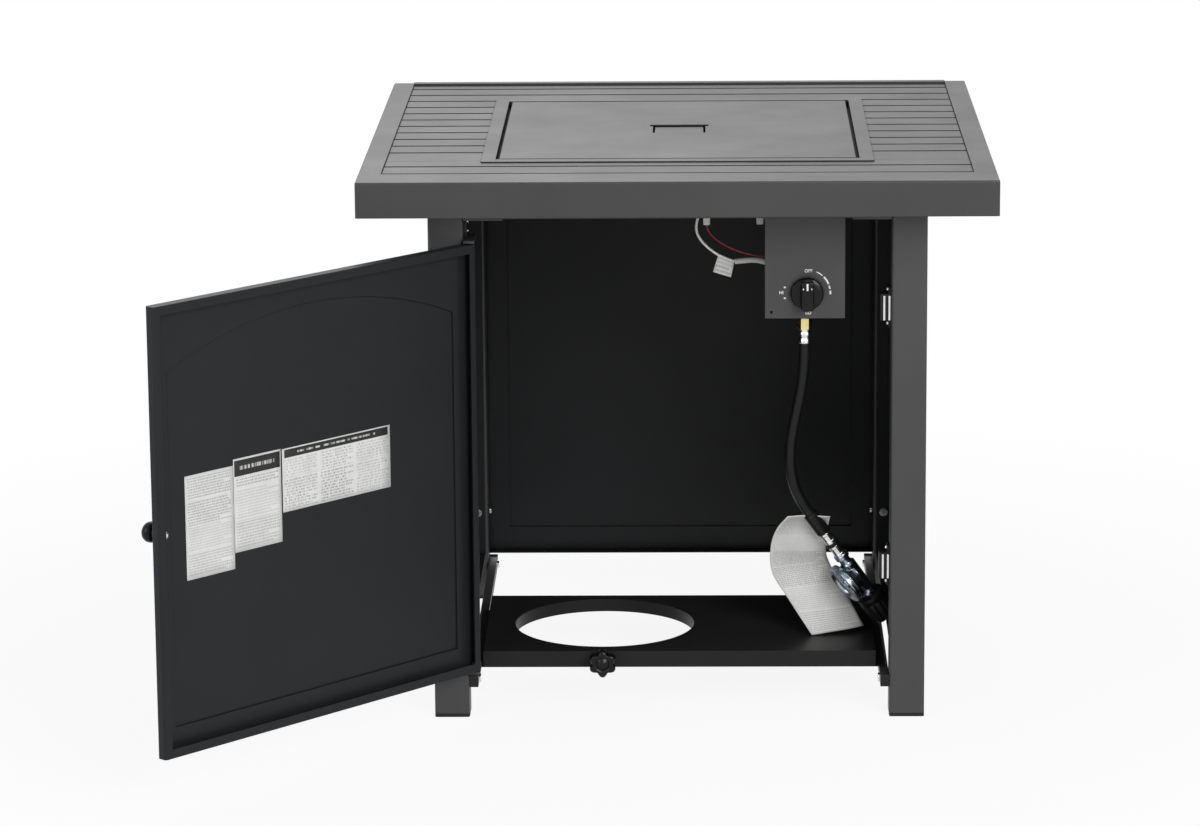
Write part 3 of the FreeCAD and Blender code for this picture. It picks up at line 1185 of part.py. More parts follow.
def make_controls():
    """The control plate, the valve behind it, the stem, the push collar and the knob."""
    plate = new_body("control_plate")
    left, right = "plate_left", "plate_left + plate_width"
    low, high, gauge = "plate_bottom", "leg_top", "panel_gauge"
    front = "-leg_inner"
    pad(plate, "front", front, "plate_flange", rect(left, low, right, high))
    pocket(plate, "front", f"{front} + {gauge}", "plate_flange",
           rect(f"{left} + {gauge}", f"{low} + {gauge}", f"{right} - {gauge}", f"{high} + 1"))
    pocket(plate, "front", f"{front} - 1", f"{gauge} + 2",
           disc("valve_x", "valve_height", "stem_radius + stem_hole_gap"),
           disc(f"{left} + plate_mark_inset", f"{low} + plate_mark_inset", "small_screw + running_gap"),
           *[disc(place, "plate_screw_height", "small_screw + running_gap") for place in PLATE_SCREWS])
    seat(plate)

    valve = new_body("valve_body")
    back, block_front = "plate_back", "valve_front"
    x, z = "valve_x", "valve_height"
    side = f"{x} - valve_width / 2"
    pad(valve, "front", block_front, "valve_depth",
        rect(side, "valve_bottom", f"{x} + valve_width / 2", "valve_top"))
    rounded(valve, "valve_corner", lambda edge: abs(edge.BoundBox.YLength - number("valve_depth")) < 1e-3)
    pad(valve, "front", back, "valve_setback", disc(x, z, "valve_neck"))
    pad(valve, "front", f"{block_front} + socket_front", "socket_depth",
        rect(f"{side} - socket_reach", f"{z} + socket_low", f"{side} + 1", f"{z} + socket_low + socket_tall"))
    pocket(valve, "side", f"{side} - socket_reach", "socket_bore",
           *[disc(f"{block_front} + {lead}_hole_depth", f"{z} + {lead}_hole_rise", f"{lead}_radius + lead_gap")
             for lead in ("braid", "sensor_lead")])
    pocket(valve, "front", back, "valve_setback + stem_depth", disc(x, z, "stem_radius + running_gap"))
    seat(valve)

    stem = new_body("valve_stem")
    stem_front = "(-leg_inner - stem_reach)"
    stem_rear = f"({block_front} + stem_depth - push_travel - stem_end_gap)"
    pad(stem, "front", stem_front, f"{stem_rear} - {stem_front}", disc(x, z, "stem_radius"))
    seat(stem)

    collar = new_body("push_collar")
    pad(collar, "front", f"{front} - knob_gap", "push_collar_depth",
        disc(x, z, "collar_radius"), disc(x, z, "stem_radius + running_gap"))
    seat(collar)

    knob = new_body("control_knob")
    pad(knob, "top", "0", "knob_skirt", disc("0", "0", "knob_radius"))
    rounded(knob, "knob_edge", level_edge(number("knob_skirt")))
    long = "(knob_radius - grip_inset)"
    pad(knob, "top", "knob_skirt / 2", "knob_skirt / 2 + knob_grip",
        rect("-grip_width / 2", f"-{long}", "grip_width / 2", long))
    rounded(knob, "grip_corner", lambda edge: upright(edge) and edge.BoundBox.ZMax > number("knob_skirt") + 1)
    rounded(knob, "grip_edge", level_edge(number("knob_skirt + knob_grip")))
    pocket(knob, "top", "0", "stem_reach - knob_gap", disc("0", "0", "stem_radius + running_gap"))
    seat(knob, x, f"{front} - knob_gap", z, rotation=TO_FRONT)


# Gas line


def make_gas_line():
    """Inlet, hose and the regulator with its cap and its nut, which hangs on the hose."""
    inlet = new_body("inlet_fitting")
    top = "valve_bottom"
    pad(inlet, "top", f"{top} - inlet_length", "inlet_length * 0.6",
        hexagon("inlet_x", "inlet_y", "inlet_hex"))
    pad(inlet, "top", f"{top} - inlet_length * 0.4", "inlet_length * 0.4",
        disc("inlet_x", "inlet_y", "inlet_hex / 2 - 1"))
    seat(inlet)

    ferrule = new_body("hose_ferrule")
    low = f"{top} - inlet_length - ferrule_length"
    turned(ferrule, ("0", low), ("ferrule_radius", low), ("ferrule_radius", f"{low} + 5"),
           ("ferrule_radius - 0.7", f"{low} + 6"), ("ferrule_radius - 0.7", f"{low} + 8"),
           ("ferrule_radius", f"{low} + 9"), ("ferrule_radius", f"{low} + 12"),
           ("ferrule_radius - 0.7", f"{low} + 13"), ("ferrule_radius - 0.7", f"{low} + 15"),
           ("ferrule_radius", f"{low} + 16"), ("ferrule_radius", f"{low} + ferrule_length"),
           ("0", f"{low} + ferrule_length"))
    seat(ferrule, "inlet_x", "inlet_y")

    solid_piece("gas_hose", [tube("gas_hose", HOSE_ROUTE, number("hose_radius"))])

    sleeve = new_body("hose_sleeve")
    pad(sleeve, "top", "0", "sleeve_length", disc("0", "0", "sleeve_radius"))
    rounded(sleeve, "1", level_edge(0))
    pad(sleeve, "top", "sleeve_length + crimp_length / 2 - 2", "4", disc("0", "0", "crimp_ring"))
    on_chain(sleeve, "0")

    crimps = new_body("hose_crimps")
    for start in ("sleeve_length", "sleeve_length + crimp_length / 2 + 2"):
        pad(crimps, "top", start, "crimp_length / 2 - 2", disc("0", "0", "crimp_radius"))
    on_chain(crimps, "0")

    regulator = new_body("regulator")
    long = "regulator_length"
    turned(regulator, ("0", "0"), ("crimp_radius + 1.5", "0"), ("crimp_radius + 1.5", "6"),
           ("regulator_radius - 3", "7"), ("regulator_radius - 3", "12"), ("regulator_radius", "15"),
           ("regulator_radius", f"{long} - 10"), ("regulator_radius - 3", f"{long} - 7"),
           ("regulator_radius - 1", f"{long} - 4"),
           ("regulator_radius - 1", long), ("nipple_radius", long),
           ("nipple_radius", f"{long} + nut_wall + 2"), ("nut_thread - 3", f"{long} + nut_wall + 4"),
           ("nut_thread - 3", f"{long} + nut_wall + 8"), ("nipple_radius", f"{long} + nut_length - 6"),
           ("0", f"{long} + nut_length - 6"))
    pad(regulator, "side", "0", "cap_offset", disc("0", "cap_place", "regulator_radius + 6"))
    on_chain(regulator, "chain_start")

    cap = new_body("regulator_cap")
    turned(cap, ("0", "0"), ("cap_radius - 2", "0"), ("cap_radius", "2"), ("cap_radius", "cap_depth - 1.5"),
           ("cap_radius - 1", "cap_depth"), ("cap_radius - 4", "cap_depth"),
           ("cap_radius - 5.5", "cap_depth - 4"), ("cap_radius / 3", "cap_depth - 2.5"), ("0", "cap_depth - 2.5"))
    middle = CHAIN_START + CHAIN_WAY * number("chain_start + cap_place") + CAP_WAY * number("cap_offset")
    seat(cap, *[str(value) for value in middle], rotation=facing(CAP_WAY, CHAIN_WAY))

    nut = new_body("gas_nut")
    pad(nut, "top", "0", "nut_length", disc("0", "0", "nut_radius"))
    rounded(nut, "2", lambda edge: abs(edge.BoundBox.ZLength) < 1e-6)
    flutes = [disc(f"(nut_radius + 1.6) * cos({30 * n})", f"(nut_radius + 1.6) * sin({30 * n})", "2.4")
              for n in range(12)]
    pocket(nut, "top", "nut_length * 0.25", "nut_length", *flutes)
    pocket(nut, "top", "-1", "nut_length + 2", disc("0", "0", "nipple_radius + running_gap"))
    pocket(nut, "top", "nut_wall", "nut_length", disc("0", "0", "nut_thread"))
    on_chain(nut, "chain_start + regulator_length")


def on_chain(piece, distance):
    """Place a piece on the straight line of fittings that ends the hose."""
    start = [f"{point:.6f} + ({distance}) * {way:.9f}" for point, way in zip(CHAIN_START, CHAIN_WAY)]
    seat(piece, *start, rotation=facing(CHAIN_WAY, CAP_WAY))


def make_leads():
    """The two thin leads under the bowl, their sleeve, the white plugs and the lead's flag."""
    lead = tube("igniter_lead", IGNITER_LEAD_ROUTE, number("lead_radius"))
    solid_piece("igniter_lead", [lead])
    solid_piece("sensor_lead", [tube("sensor_lead", SENSOR_LEAD_ROUTE, number("sensor_lead_radius"))])
    solid_piece("lead_braid", [tube("lead_braid", BRAID_ROUTE, number("braid_radius"))])
    bowl, half = number("bowl_bottom"), number("plug_half")
    x, y, low = SENSOR_LEAD_ROUTE[0]
    plug = block((x - half, y - half, low), (x + half, y + half, bowl - number("sensor_tail")))
    x, y, low = number("spare_plug_x"), number("spare_plug_y"), bowl - number("spare_plug_length")
    spare_plug = block((x - half, y - half, low), (x + half, y + half, bowl))
    corners = [Vector(*corner) for corner in FLAG]
    flag = Part.Face(Part.makePolygon(corners + corners[:1])).extrude(Vector(0, number("flag_gauge"), 0))
    solid_piece("lead_connectors", [plug, spare_plug, flag.cut(lead)])


def make_hose_tag():
    """The curled paper tag that hangs on the hose: a thin sheet through rows of edge points."""
    rows = [(Vector(*left), Vector(*right)) for left, right in TAG_ROWS]
    wires = []
    for step, (left, right) in enumerate(rows):
        before, after = rows[max(step - 1, 0)][0], rows[min(step + 1, len(rows) - 1)][0]
        normal = (right - left).cross(after - before)
        half = normal.normalize() * (number("tag_gauge") / 2)
        corners = [left - half, right - half, right + half, left + half]
        wires.append(Part.makePolygon(corners + corners[:1]))
    sheet_shape = Part.makeLoft(wires, True, False)
    hose = tube("hose through the tag", HOSE_ROUTE[-3:], number("hose_radius"))
    sleeve = Part.makeCylinder(number("sleeve_radius + seat_gap"), number("sleeve_length"),
                               CHAIN_START, CHAIN_WAY)
    tag = sheet_shape.cut(hose.fuse(sleeve))
    solid_piece("hose_tag", [max(tag.Solids, key=lambda solid: solid.Volume)])


def finish():
    """Move the origin under the middle of the whole object, check every piece and export it."""
    document.recompute()
    box = FreeCAD.BoundBox()
    for piece in pieces:
        box.add(piece.Shape.BoundBox)
    origin = (("origin_x", (box.XMin + box.XMax) / 2), ("origin_y", (box.YMin + box.YMax) / 2))
    for line, (name, value) in enumerate(origin, start=len(SIZES) + 1):
        sheet.set(f"B{line}", f"{value:.6f}")
        print(f"{name}: {value:.4f}")
    document.recompute()
    os.makedirs("parts", exist_ok=True)
    for item in document.Objects:
        if {"Invalid", "Error"} & set(item.State):
            raise RuntimeError(f"{item.Label} is not valid")
    for piece in pieces:
        shape = piece.Shape
        if shape.isNull() or not shape.isValid() or not shape.Solids:
            raise RuntimeError(f"{piece.Label} has no valid solid")
        shape.exportStep(f"parts/{piece.Label}.step")
        print(f"{piece.Label}: {len(shape.Solids)} solid(s), {shape.Volume:.0f} mm3")
    print(f"{len(pieces)} pieces")


fill_sheet()
make_tabletop()
make_burner_pan()
make_lid()
make_burner()
make_legs()
make_upper_rail("rail_front", 0, corner_plates=True, screw_holes=True)
make_upper_rail("rail_back", 180)
make_upper_rail("rail_left", -90)
make_upper_rail("rail_right", 90)
make_panel("panel_back", 0)
make_panel("panel_left", 90)
make_panel("panel_right", -90)
make_door()
make_hinge_bracket("hinge_bracket_top", "hinge_above", "door_top - pin_reach")
make_hinge_bracket("hinge_bracket_bottom", "hinge_below", "hinge_below + hinge_tab / 2", washer=True)
make_catch("catch_upper", "catch_high")
make_catch("catch_lower", "catch_low")
make_catch_poles()
make_fasteners()
make_tray_rail("tray_rail_left", -1)
make_tray_rail("tray_rail_right", 1)
make_rail_plugs()
make_tank_tray()
make_tank_screw()
make_controls()
make_gas_line()
make_leads()
make_hose_tag()
finish()
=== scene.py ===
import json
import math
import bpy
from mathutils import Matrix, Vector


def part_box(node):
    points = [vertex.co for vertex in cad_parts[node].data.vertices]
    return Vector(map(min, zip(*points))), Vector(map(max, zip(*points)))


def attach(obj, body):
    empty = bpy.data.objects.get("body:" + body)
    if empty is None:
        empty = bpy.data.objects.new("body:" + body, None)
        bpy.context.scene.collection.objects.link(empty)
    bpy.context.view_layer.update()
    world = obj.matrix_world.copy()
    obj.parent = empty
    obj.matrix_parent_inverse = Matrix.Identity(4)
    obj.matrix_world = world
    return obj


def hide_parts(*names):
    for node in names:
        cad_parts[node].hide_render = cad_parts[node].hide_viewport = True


bl_info = {
    "name": "Fire Pit Table",
    "version": (1, 0, 0),
    "blender": (4, 5, 0),
    "location": "View3D > Sidebar > Fire Pit",
    "description": "Dresses the packed fire pit table with its finishes, cords, knobs and papers",
    "category": "Object",
}

import bmesh
import bpy
from bpy.props import FloatProperty, FloatVectorProperty, PointerProperty
from bpy.types import Operator, Panel, PropertyGroup
from mathutils import Matrix, Vector, noise

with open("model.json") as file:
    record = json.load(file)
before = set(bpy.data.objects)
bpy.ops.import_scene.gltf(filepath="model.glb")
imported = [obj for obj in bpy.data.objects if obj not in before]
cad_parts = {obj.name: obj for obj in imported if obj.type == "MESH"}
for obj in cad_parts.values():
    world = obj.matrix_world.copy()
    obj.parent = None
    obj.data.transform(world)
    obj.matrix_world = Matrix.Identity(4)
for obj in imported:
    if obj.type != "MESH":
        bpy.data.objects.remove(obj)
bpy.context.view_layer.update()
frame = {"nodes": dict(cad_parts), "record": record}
NODES = frame["nodes"]

# Places below are in metres from the floor under the middle of the tabletop
TABLE_LOW, TABLE_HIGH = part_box("top_frame")
MIDDLE = Vector(((TABLE_LOW.x + TABLE_HIGH.x) / 2, (TABLE_LOW.y + TABLE_HIGH.y) / 2, 0))

HOSE_ROUTE = (
    (0.1440, -0.2180, 0.4240),
    (0.1440, -0.2180, 0.3930),
    (0.1374, -0.2160, 0.3545),
    (0.1290, -0.2130, 0.3145),
    (0.1274, -0.2105, 0.2845),
    (0.1306, -0.2076, 0.2590),
    (0.1392, -0.20424, 0.23677),
    (0.1510, -0.1996, 0.2194),
    (0.1620, -0.1953, 0.2032),
)
IGNITER_LEAD_ROUTE = (
    (0.0229, -0.1500, 0.5565),
    (0.0206, -0.1502, 0.5480),
    (0.0216, -0.1506, 0.5380),
    (0.0278, -0.1520, 0.5284),
    (0.0374, -0.1540, 0.5196),
    (0.0506, -0.1568, 0.5116),
    (0.0646, -0.1589, 0.5072),
)
SENSOR_LEAD_ROUTE = (
    (0.0330, -0.1320, 0.5448),
    (0.0336, -0.1322, 0.5392),
    (0.0400, -0.1352, 0.5314),
    (0.0504, -0.1398, 0.5242),
    (0.0640, -0.1456, 0.5184),
    (0.0780, -0.1514, 0.5148),
    (0.0902, -0.1580, 0.5138),
    (0.0998, -0.1670, 0.5146),
    (0.1074, -0.1780, 0.5146),
    (0.1160, -0.1906, 0.5112),
    (0.1230, -0.2010, 0.5066),
)
BRAID_ROUTE = (
    (0.0654, -0.1591, 0.5071),
    (0.0782, -0.1614, 0.5090),
    (0.0906, -0.1670, 0.5104),
    (0.1003, -0.1760, 0.5098),
    (0.1070, -0.1872, 0.5064),
    (0.1140, -0.1984, 0.5022),
    (0.1230, -0.2065, 0.4986),
)

# The fittings that end the hose lie on one line, which starts before the hose's end in its guard
CHAIN_START = Vector(HOSE_ROUTE[-2])
CHAIN_WAY = (CHAIN_START - Vector(HOSE_ROUTE[-3])).normalized()
CAP_WAY = Vector((-0.70, -0.37, -0.61))
CAP_WAY = (CAP_WAY - CHAIN_WAY * CAP_WAY.dot(CHAIN_WAY)).normalized()

# Left and right edge points of the paper tag, from the top down
TAG_ROWS = (
    ((0.125, -0.208, 0.2180), (0.174, -0.207, 0.2175)),
    ((0.113, -0.190, 0.1990), (0.172, -0.186, 0.2000)),
    ((0.106, -0.176, 0.1730), (0.170, -0.172, 0.1700)),
    ((0.108, -0.165, 0.1400), (0.176, -0.152, 0.1460)),
    ((0.130, -0.165, 0.1030), (0.197, -0.149, 0.1060)),
    ((0.154, -0.172, 0.0668), (0.215, -0.155, 0.0730)),
)

# Lowest and highest corners of the two white plugs, and the flag's corners from the upper left
LEAD_PLUGS = (
    ((0.0290, -0.1360, 0.5450), (0.0370, -0.1280, 0.5550)),
    ((0.0900, -0.1540, 0.5490), (0.0980, -0.1460, 0.5650)),
)
FLAG_CORNERS = (
    (0.0458, -0.1577, 0.5132),
    (0.0645, -0.1577, 0.5062),
    (0.0607, -0.1577, 0.4887),
    (0.0401, -0.1577, 0.4947),
)

# Where the fittings start along their line, and how far the dished cap stands off it
CRIMP_STARTS = (0.029, 0.049)
COLLAR_START = 0.0450
REGULATOR_START = 0.064
CAP_START = 0.097
CAP_OFFSET = 0.0100
NUT_START = 0.126

# The open door: its hinge line and its turn, and its pull knob's place on the closed door
DOOR_PIVOT = Vector((-0.234, -0.280, 0))
DOOR_TURN = math.radians(-132.9)
PULL_PLACE = (0.454, -0.005, 0.300)

# The labels inside the door: start, low edge, end and high edge on the closed door, then rows of
# rules, the header's share, blocks and columns. Their depth is that of the door's inner skin
LABELS = (
    ("label_left", (0.3543, 0.2435, 0.4233, 0.3585), 38.0, 0.0, 4.0, 1.0),
    ("label_middle", (0.2848, 0.2610, 0.3538, 0.3650), 32.0, 0.17, 3.0, 1.0),
    ("label_right", (0.1213, 0.2930, 0.2828, 0.3640), 22.0, 0.13, 2.0, 3.0),
)
LABEL_DEPTH = -0.0058

# The control knob's back, the print on the plate behind it, and the star knob's back
DIAL_ACROSS = 0.146
DIAL_HEIGHT = 0.4866
KNOB_PLACE = (DIAL_ACROSS, -0.245, DIAL_HEIGHT)
PRINT_PLACE = (DIAL_ACROSS, -0.24008, DIAL_HEIGHT)
STAR_PLACE = (-0.088, -0.249, 0.057)

# The camera's place and its turns in radians
CAMERA_PLACE = (0.02413, -5.48732, 1.54762)
CAMERA_PITCH, CAMERA_YAW, CAMERA_ROLL = 0.22472, -0.02157, -0.00781

# Each lamp's place and target, then its size and power
LAMPS = (
    ("Key", (1.5, -3.3, 1.8), (0, 0, 0.4), 1.8, 86.0),
    ("Fill", (-2.9, -2.7, 1.8), (0, 0, 0.4), 2.2, 38.0),
    ("Back", (-0.6, 3.2, 3.2), (0, 0, 0.6), 2.4, 32.0),
)

# Steps round a turned shape and round a fluted one, and the degrees past which an edge is sharp,
# and those for a fold in paper
TURN_STEPS = 64
FLUTE_STEPS = 144
SHARP_EDGE = 35
SHARP_FOLD = 80

# The way to the table's front, and up
FRONT = Vector((0, -1, 0))
UP = Vector((0, 0, 1))


def length(name, description, default):
    """A size property in metres."""
    return FloatProperty(name=name, description=description, default=default, unit="LENGTH")


class FirePitSizes(PropertyGroup):
    """Sizes of the pieces that are made here."""

    lens: FloatProperty(name="Lens", description="Focal length of the camera", default=141.97, unit="CAMERA")
    hose: length("Hose", "Outer diameter of the gas hose", 0.013)
    igniter_lead: length("Igniter lead", "Diameter of the white lead", 0.003)
    sensor_lead: length("Sensor lead", "Diameter of the red lead", 0.002)
    braid: length("Braided sleeve", "Diameter of the sleeve on the leads", 0.0064)
    knob_skirt: length("Knob skirt", "Radius of the control knob's skirt", 0.0188)
    star_tip: length("Star knob", "From the star knob's middle to the tips of its lobes", 0.0165)
    pull: length("Pull knob", "Radius of the door's pull knob", 0.0115)
    cap: length("Regulator cap", "Radius of the regulator's cap", 0.025)
    nut: length("Gas nut", "Radius of the gas nut", 0.017)
    paper: length("Paper", "Thickness of the paper tag and the labels", 0.0003)


def colour(name, description, *default):
    """A colour property in scene linear values."""
    return FloatVectorProperty(
        name=name, description=description, default=default, subtype="COLOR", min=0, max=1
    )


class FirePitColours(PropertyGroup):
    """Colours of the finishes."""

    coat_top: colour("Top coat", "Powder coat of the tabletop", 0.027, 0.027, 0.0281)
    coat_frame: colour("Frame coat", "Powder coat of the legs and rails", 0.040, 0.040, 0.042)
    coat_panel: colour("Panel coat", "Powder coat of the panels and the door", 0.0135, 0.0142, 0.0155)
    coat_tray: colour("Tray coat", "Powder coat of the tank tray", 0.014, 0.014, 0.0146)
    steel: colour("Steel", "Brushed steel of the burner", 0.55, 0.55, 0.54)
    zinc: colour("Zinc", "Bright zinc plating", 0.72, 0.72, 0.72)
    brass: colour("Brass", "Machined brass of the fittings", 0.72, 0.60, 0.30)
    black_gloss: colour("Black gloss", "Moulded glossy knobs", 0.005, 0.005, 0.0055)
    black_matte: colour("Black matte", "Matte plastic and the gas nut", 0.008, 0.008, 0.0085)
    white: colour("White plastic", "Lead, plugs and flag", 0.80, 0.80, 0.78)
    ceramic: colour("Ceramic", "Glazed insulators", 0.80, 0.78, 0.72)
    rubber: colour("Rubber", "Gas hose and its bend guard", 0.006, 0.006, 0.0065)
    cast: colour("Cast metal", "Regulator and valve", 0.33, 0.38, 0.44)
    red: colour("Red", "Cover of the sensor lead", 0.36, 0.03, 0.03)
    braid: colour("Braid", "Woven sleeve on the leads", 0.74, 0.73, 0.70)
    paper: colour("Paper", "Tag and labels", 0.70, 0.70, 0.68)
    print_dark: colour("Dark print", "Header bands of the labels", 0.02, 0.02, 0.02)
    print_light: colour("Light print", "Marks round the dial", 0.85, 0.85, 0.85)


# Places


def spot(point):
    """A place given from the middle of the table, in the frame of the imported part."""
    return MIDDLE + Vector(point)


def upright_to(way, side):
    """The turn that sends Z to a direction, and X as near as it can to another one."""
    z = Vector(way).normalized()
    y = z.cross(Vector(side)).normalized()
    return Matrix((y.cross(z), y, z)).transposed().to_4x4()


def placed(point, way=UP, side=(1, 0, 0)):
    """The matrix of a piece that stands on a point and grows along a direction."""
    return Matrix.Translation(spot(point)) @ upright_to(way, side)


def on_chain(distance):
    """The matrix of a piece on the line of fittings that ends the hose."""
    return placed(CHAIN_START + CHAIN_WAY * distance, CHAIN_WAY, CAP_WAY)


def on_door():
    """The matrix that takes the closed door's own coordinates to the open door."""
    return Matrix.Translation(spot(DOOR_PIVOT)) @ Matrix.Rotation(DOOR_TURN, 4, "Z")


# Meshes


def keep(name, bm, matrix, body, slot, *stands_for, material=None, sharp=SHARP_EDGE):
    """Finish a mesh: move it to its place, smooth it, paint it and let it ride on its body."""
    bmesh.ops.transform(bm, matrix=matrix, verts=bm.verts)
    mesh = bpy.data.meshes.new(name)
    bm.to_mesh(mesh)
    bm.free()
    mesh.shade_smooth()
    mesh.set_sharp_from_angle(angle=math.radians(sharp))
    mesh.materials.append(material or finish_named(slot))
    return settle(bpy.data.objects.new(name, mesh), body, slot, *stands_for)


def settle(piece, body, slot, *stands_for):
    """Put a piece in the scene on its body, and hide the nodes that it stands for. Its slot is not used."""
    bpy.context.scene.collection.objects.link(piece)
    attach(piece, body)
    if stands_for:
        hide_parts(*stands_for)
    return piece


def soften(piece, width):
    """Round the sharp edges of a piece."""
    bevel = piece.modifiers.new("Rounded", "BEVEL")
    bevel.width = width
    bevel.segments = 2
    bevel.limit_method = "ANGLE"
    bevel.angle_limit = math.radians(SHARP_EDGE)


def thicken(piece, thickness):
    """Give a sheet its thickness."""
    piece.modifiers.new("Thickness", "SOLIDIFY").thickness = thickness


def lathe(bm, profile, steps=TURN_STEPS):
    """Add a closed turned shape about Z. The profile of radius and height starts and ends on Z."""
    verts = [bm.verts.new((radius, 0, height)) for radius, height in profile]
    edges = [bm.edges.new(pair) for pair in zip(verts, verts[1:])]
    bmesh.ops.spin(
        bm, geom=verts + edges, axis=UP, cent=(0, 0, 0), angle=math.tau, steps=steps, use_merge=True
    )
    bmesh.ops.remove_doubles(bm, verts=bm.verts, dist=1e-7)
    bmesh.ops.recalc_face_normals(bm, faces=bm.faces)


def turned(*profile, steps=TURN_STEPS):
    """A mesh with one turned shape."""
    bm = bmesh.new()
    lathe(bm, profile, steps)
    return bm


def rounded(bm, edges, width, steps):
    """Round some edges of a mesh."""
    bmesh.ops.bevel(bm, geom=edges, offset=width, offset_type="OFFSET", segments=steps, profile=0.5,
                    affect="EDGES", material=-1)


def shifted(profile, rise):
    """A turned shape's profile at another height."""
    return [(radius, height + rise) for radius, height in profile]


def ringed(bm, rings):
    """Add a wall through rings of points, from the lowest up, and give each ring's edges back."""
    loops = []
    for ring in rings:
        verts = [bm.verts.new(point) for point in ring]
        loops.append([bm.edges.new(pair) for pair in zip(verts, verts[1:] + verts[:1])])
    for lower, upper in zip(loops, loops[1:]):
        bmesh.ops.bridge_loops(bm, edges=lower + upper)
    return loops


def join(bm, other):
    """Add another mesh to this one and free the other."""
    carrier = bpy.data.meshes.new("carrier")
    other.to_mesh(carrier)
    other.free()
    bm.from_mesh(carrier)
    bpy.data.meshes.remove(carrier)


def box_mesh(bm, low, high):
    """Add a box between two corners."""
    low, high = Vector(low), Vector(high)
    matrix = Matrix.Translation((low + high) / 2) @ Matrix.Diagonal((*(high - low), 1))
    bmesh.ops.create_cube(bm, size=1, matrix=matrix)


def sheet_grid(across, up):
    """A mesh with one flat grid, a unit wide and high about the origin, and its UV map."""
    bm = bmesh.new()
    bm.loops.layers.uv.new("UVMap")
    bmesh.ops.create_grid(bm, x_segments=across, y_segments=up, size=0.5, calc_uvs=True)
    return bm


def along(rows, place):
    """A point on a smooth line through points, with the place from 0 to 1."""
    reach = place * (len(rows) - 1)
    step = min(int(reach), len(rows) - 2)
    t = reach - step
    before, start = Vector(rows[max(step - 1, 0)]), Vector(rows[step])
    end, after = Vector(rows[step + 1]), Vector(rows[min(step + 2, len(rows) - 1)])
    return 0.5 * (
        2 * start
        + (end - before) * t
        + (2 * before - 5 * start + 4 * end - after) * t * t
        + (3 * start - before - 3 * end + after) * t**3
    )


def cord_curve(name, route, diameter, slot, node):
    """A cord as one smooth spline whose control points are its route."""
    curve = bpy.data.curves.new(name, "CURVE")
    curve.dimensions = "3D"
    curve.bevel_depth = diameter / 2
    curve.bevel_resolution = 6
    curve.resolution_u = 16
    curve.use_fill_caps = True
    spline = curve.splines.new("NURBS")
    spline.points.add(len(route) - 1)
    for point, place in zip(spline.points, route):
        point.co = (*spot(place), 1)
    spline.order_u = 3
    spline.use_endpoint_u = True
    spline.use_smooth = True
    curve.materials.append(finish_named(slot))
    settle(bpy.data.objects.new(name, curve), "table", slot, node)


# Shading


def feed(tree, socket, source):
    """Link a socket to another node's output, or set its value."""
    if isinstance(source, bpy.types.NodeSocket):
        tree.links.new(source, socket)
    else:
        socket.default_value = source


def add(tree, kind, sockets=(), **settings):
    """A node with its settings, and its sockets by name or number."""
    item = tree.nodes.new(kind)
    for name, value in settings.items():
        setattr(item, name, value)
    for name, source in dict(sockets).items():
        feed(tree, item.inputs[name], source)
    return item


def new_group(name, inputs, outputs):
    """An empty shader group with named sockets."""
    group = bpy.data.node_groups.new(name, "ShaderNodeTree")
    for label, kind, value in inputs:
        socket = group.interface.new_socket(label, in_out="INPUT", socket_type=f"NodeSocket{kind}")
        if value is not None:
            socket.default_value = value
    for label, kind in outputs:
        group.interface.new_socket(label, in_out="OUTPUT", socket_type=f"NodeSocket{kind}")
    return group, group.nodes.new("NodeGroupInput").outputs, group.nodes.new("NodeGroupOutput").inputs


def use(tree, group_maker, **sockets):
    """A node that holds a shared group, built when it is first needed."""
    group = bpy.data.node_groups.get(group_maker.__name__) or group_maker()
    given = {name.replace("_", " "): value for name, value in sockets.items()}
    return add(tree, "ShaderNodeGroup", given, node_tree=group)


def maths(tree, operation, first, second=None, clamp=False):
    """The result of a maths node."""
    sockets = {0: first} if second is None else {0: first, 1: second}
    return add(tree, "ShaderNodeMath", sockets, operation=operation, use_clamp=clamp).outputs[0]


def times(tree, *values):
    """The product of several values."""
    result = values[0]
    for value in values[1:]:
        result = maths(tree, "MULTIPLY", result, value)
    return result


def mixed(tree, factor, first, second):
    """A colour between two."""
    item = add(tree, "ShaderNodeMix", {0: factor, 6: first, 7: second}, data_type="RGBA")
    return item.outputs[2]


def ranged(tree, value, low, high, start=0.0, end=1.0):
    """A value carried from one range to another and kept inside it."""
    sockets = {0: value, 1: low, 2: high, 3: start, 4: end}
    return add(tree, "ShaderNodeMapRange", sockets).outputs[0]


def noisy(tree, where, scale, detail):
    """The value of a noise texture."""
    sockets = {"Vector": where, "Scale": scale, "Detail": detail}
    return add(tree, "ShaderNodeTexNoise", sockets).outputs["Fac"]


def grain():
    """Fine grain of a powder coat or a moulding, and slow cloudiness."""
    group, given, out = new_group(
        "grain",
        [("Vector", "Vector", None), ("Scale", "Float", 900.0), ("Cloud Scale", "Float", 14.0)],
        [("Height", "Float"), ("Cloud", "Float")],
    )
    feed(group, out["Height"], noisy(group, given["Vector"], given["Scale"], 2.0))
    slow = noisy(group, given["Vector"], given["Cloud Scale"], 4.0)
    feed(group, out["Cloud"], ranged(group, slow, 0.3, 0.7))
    return group


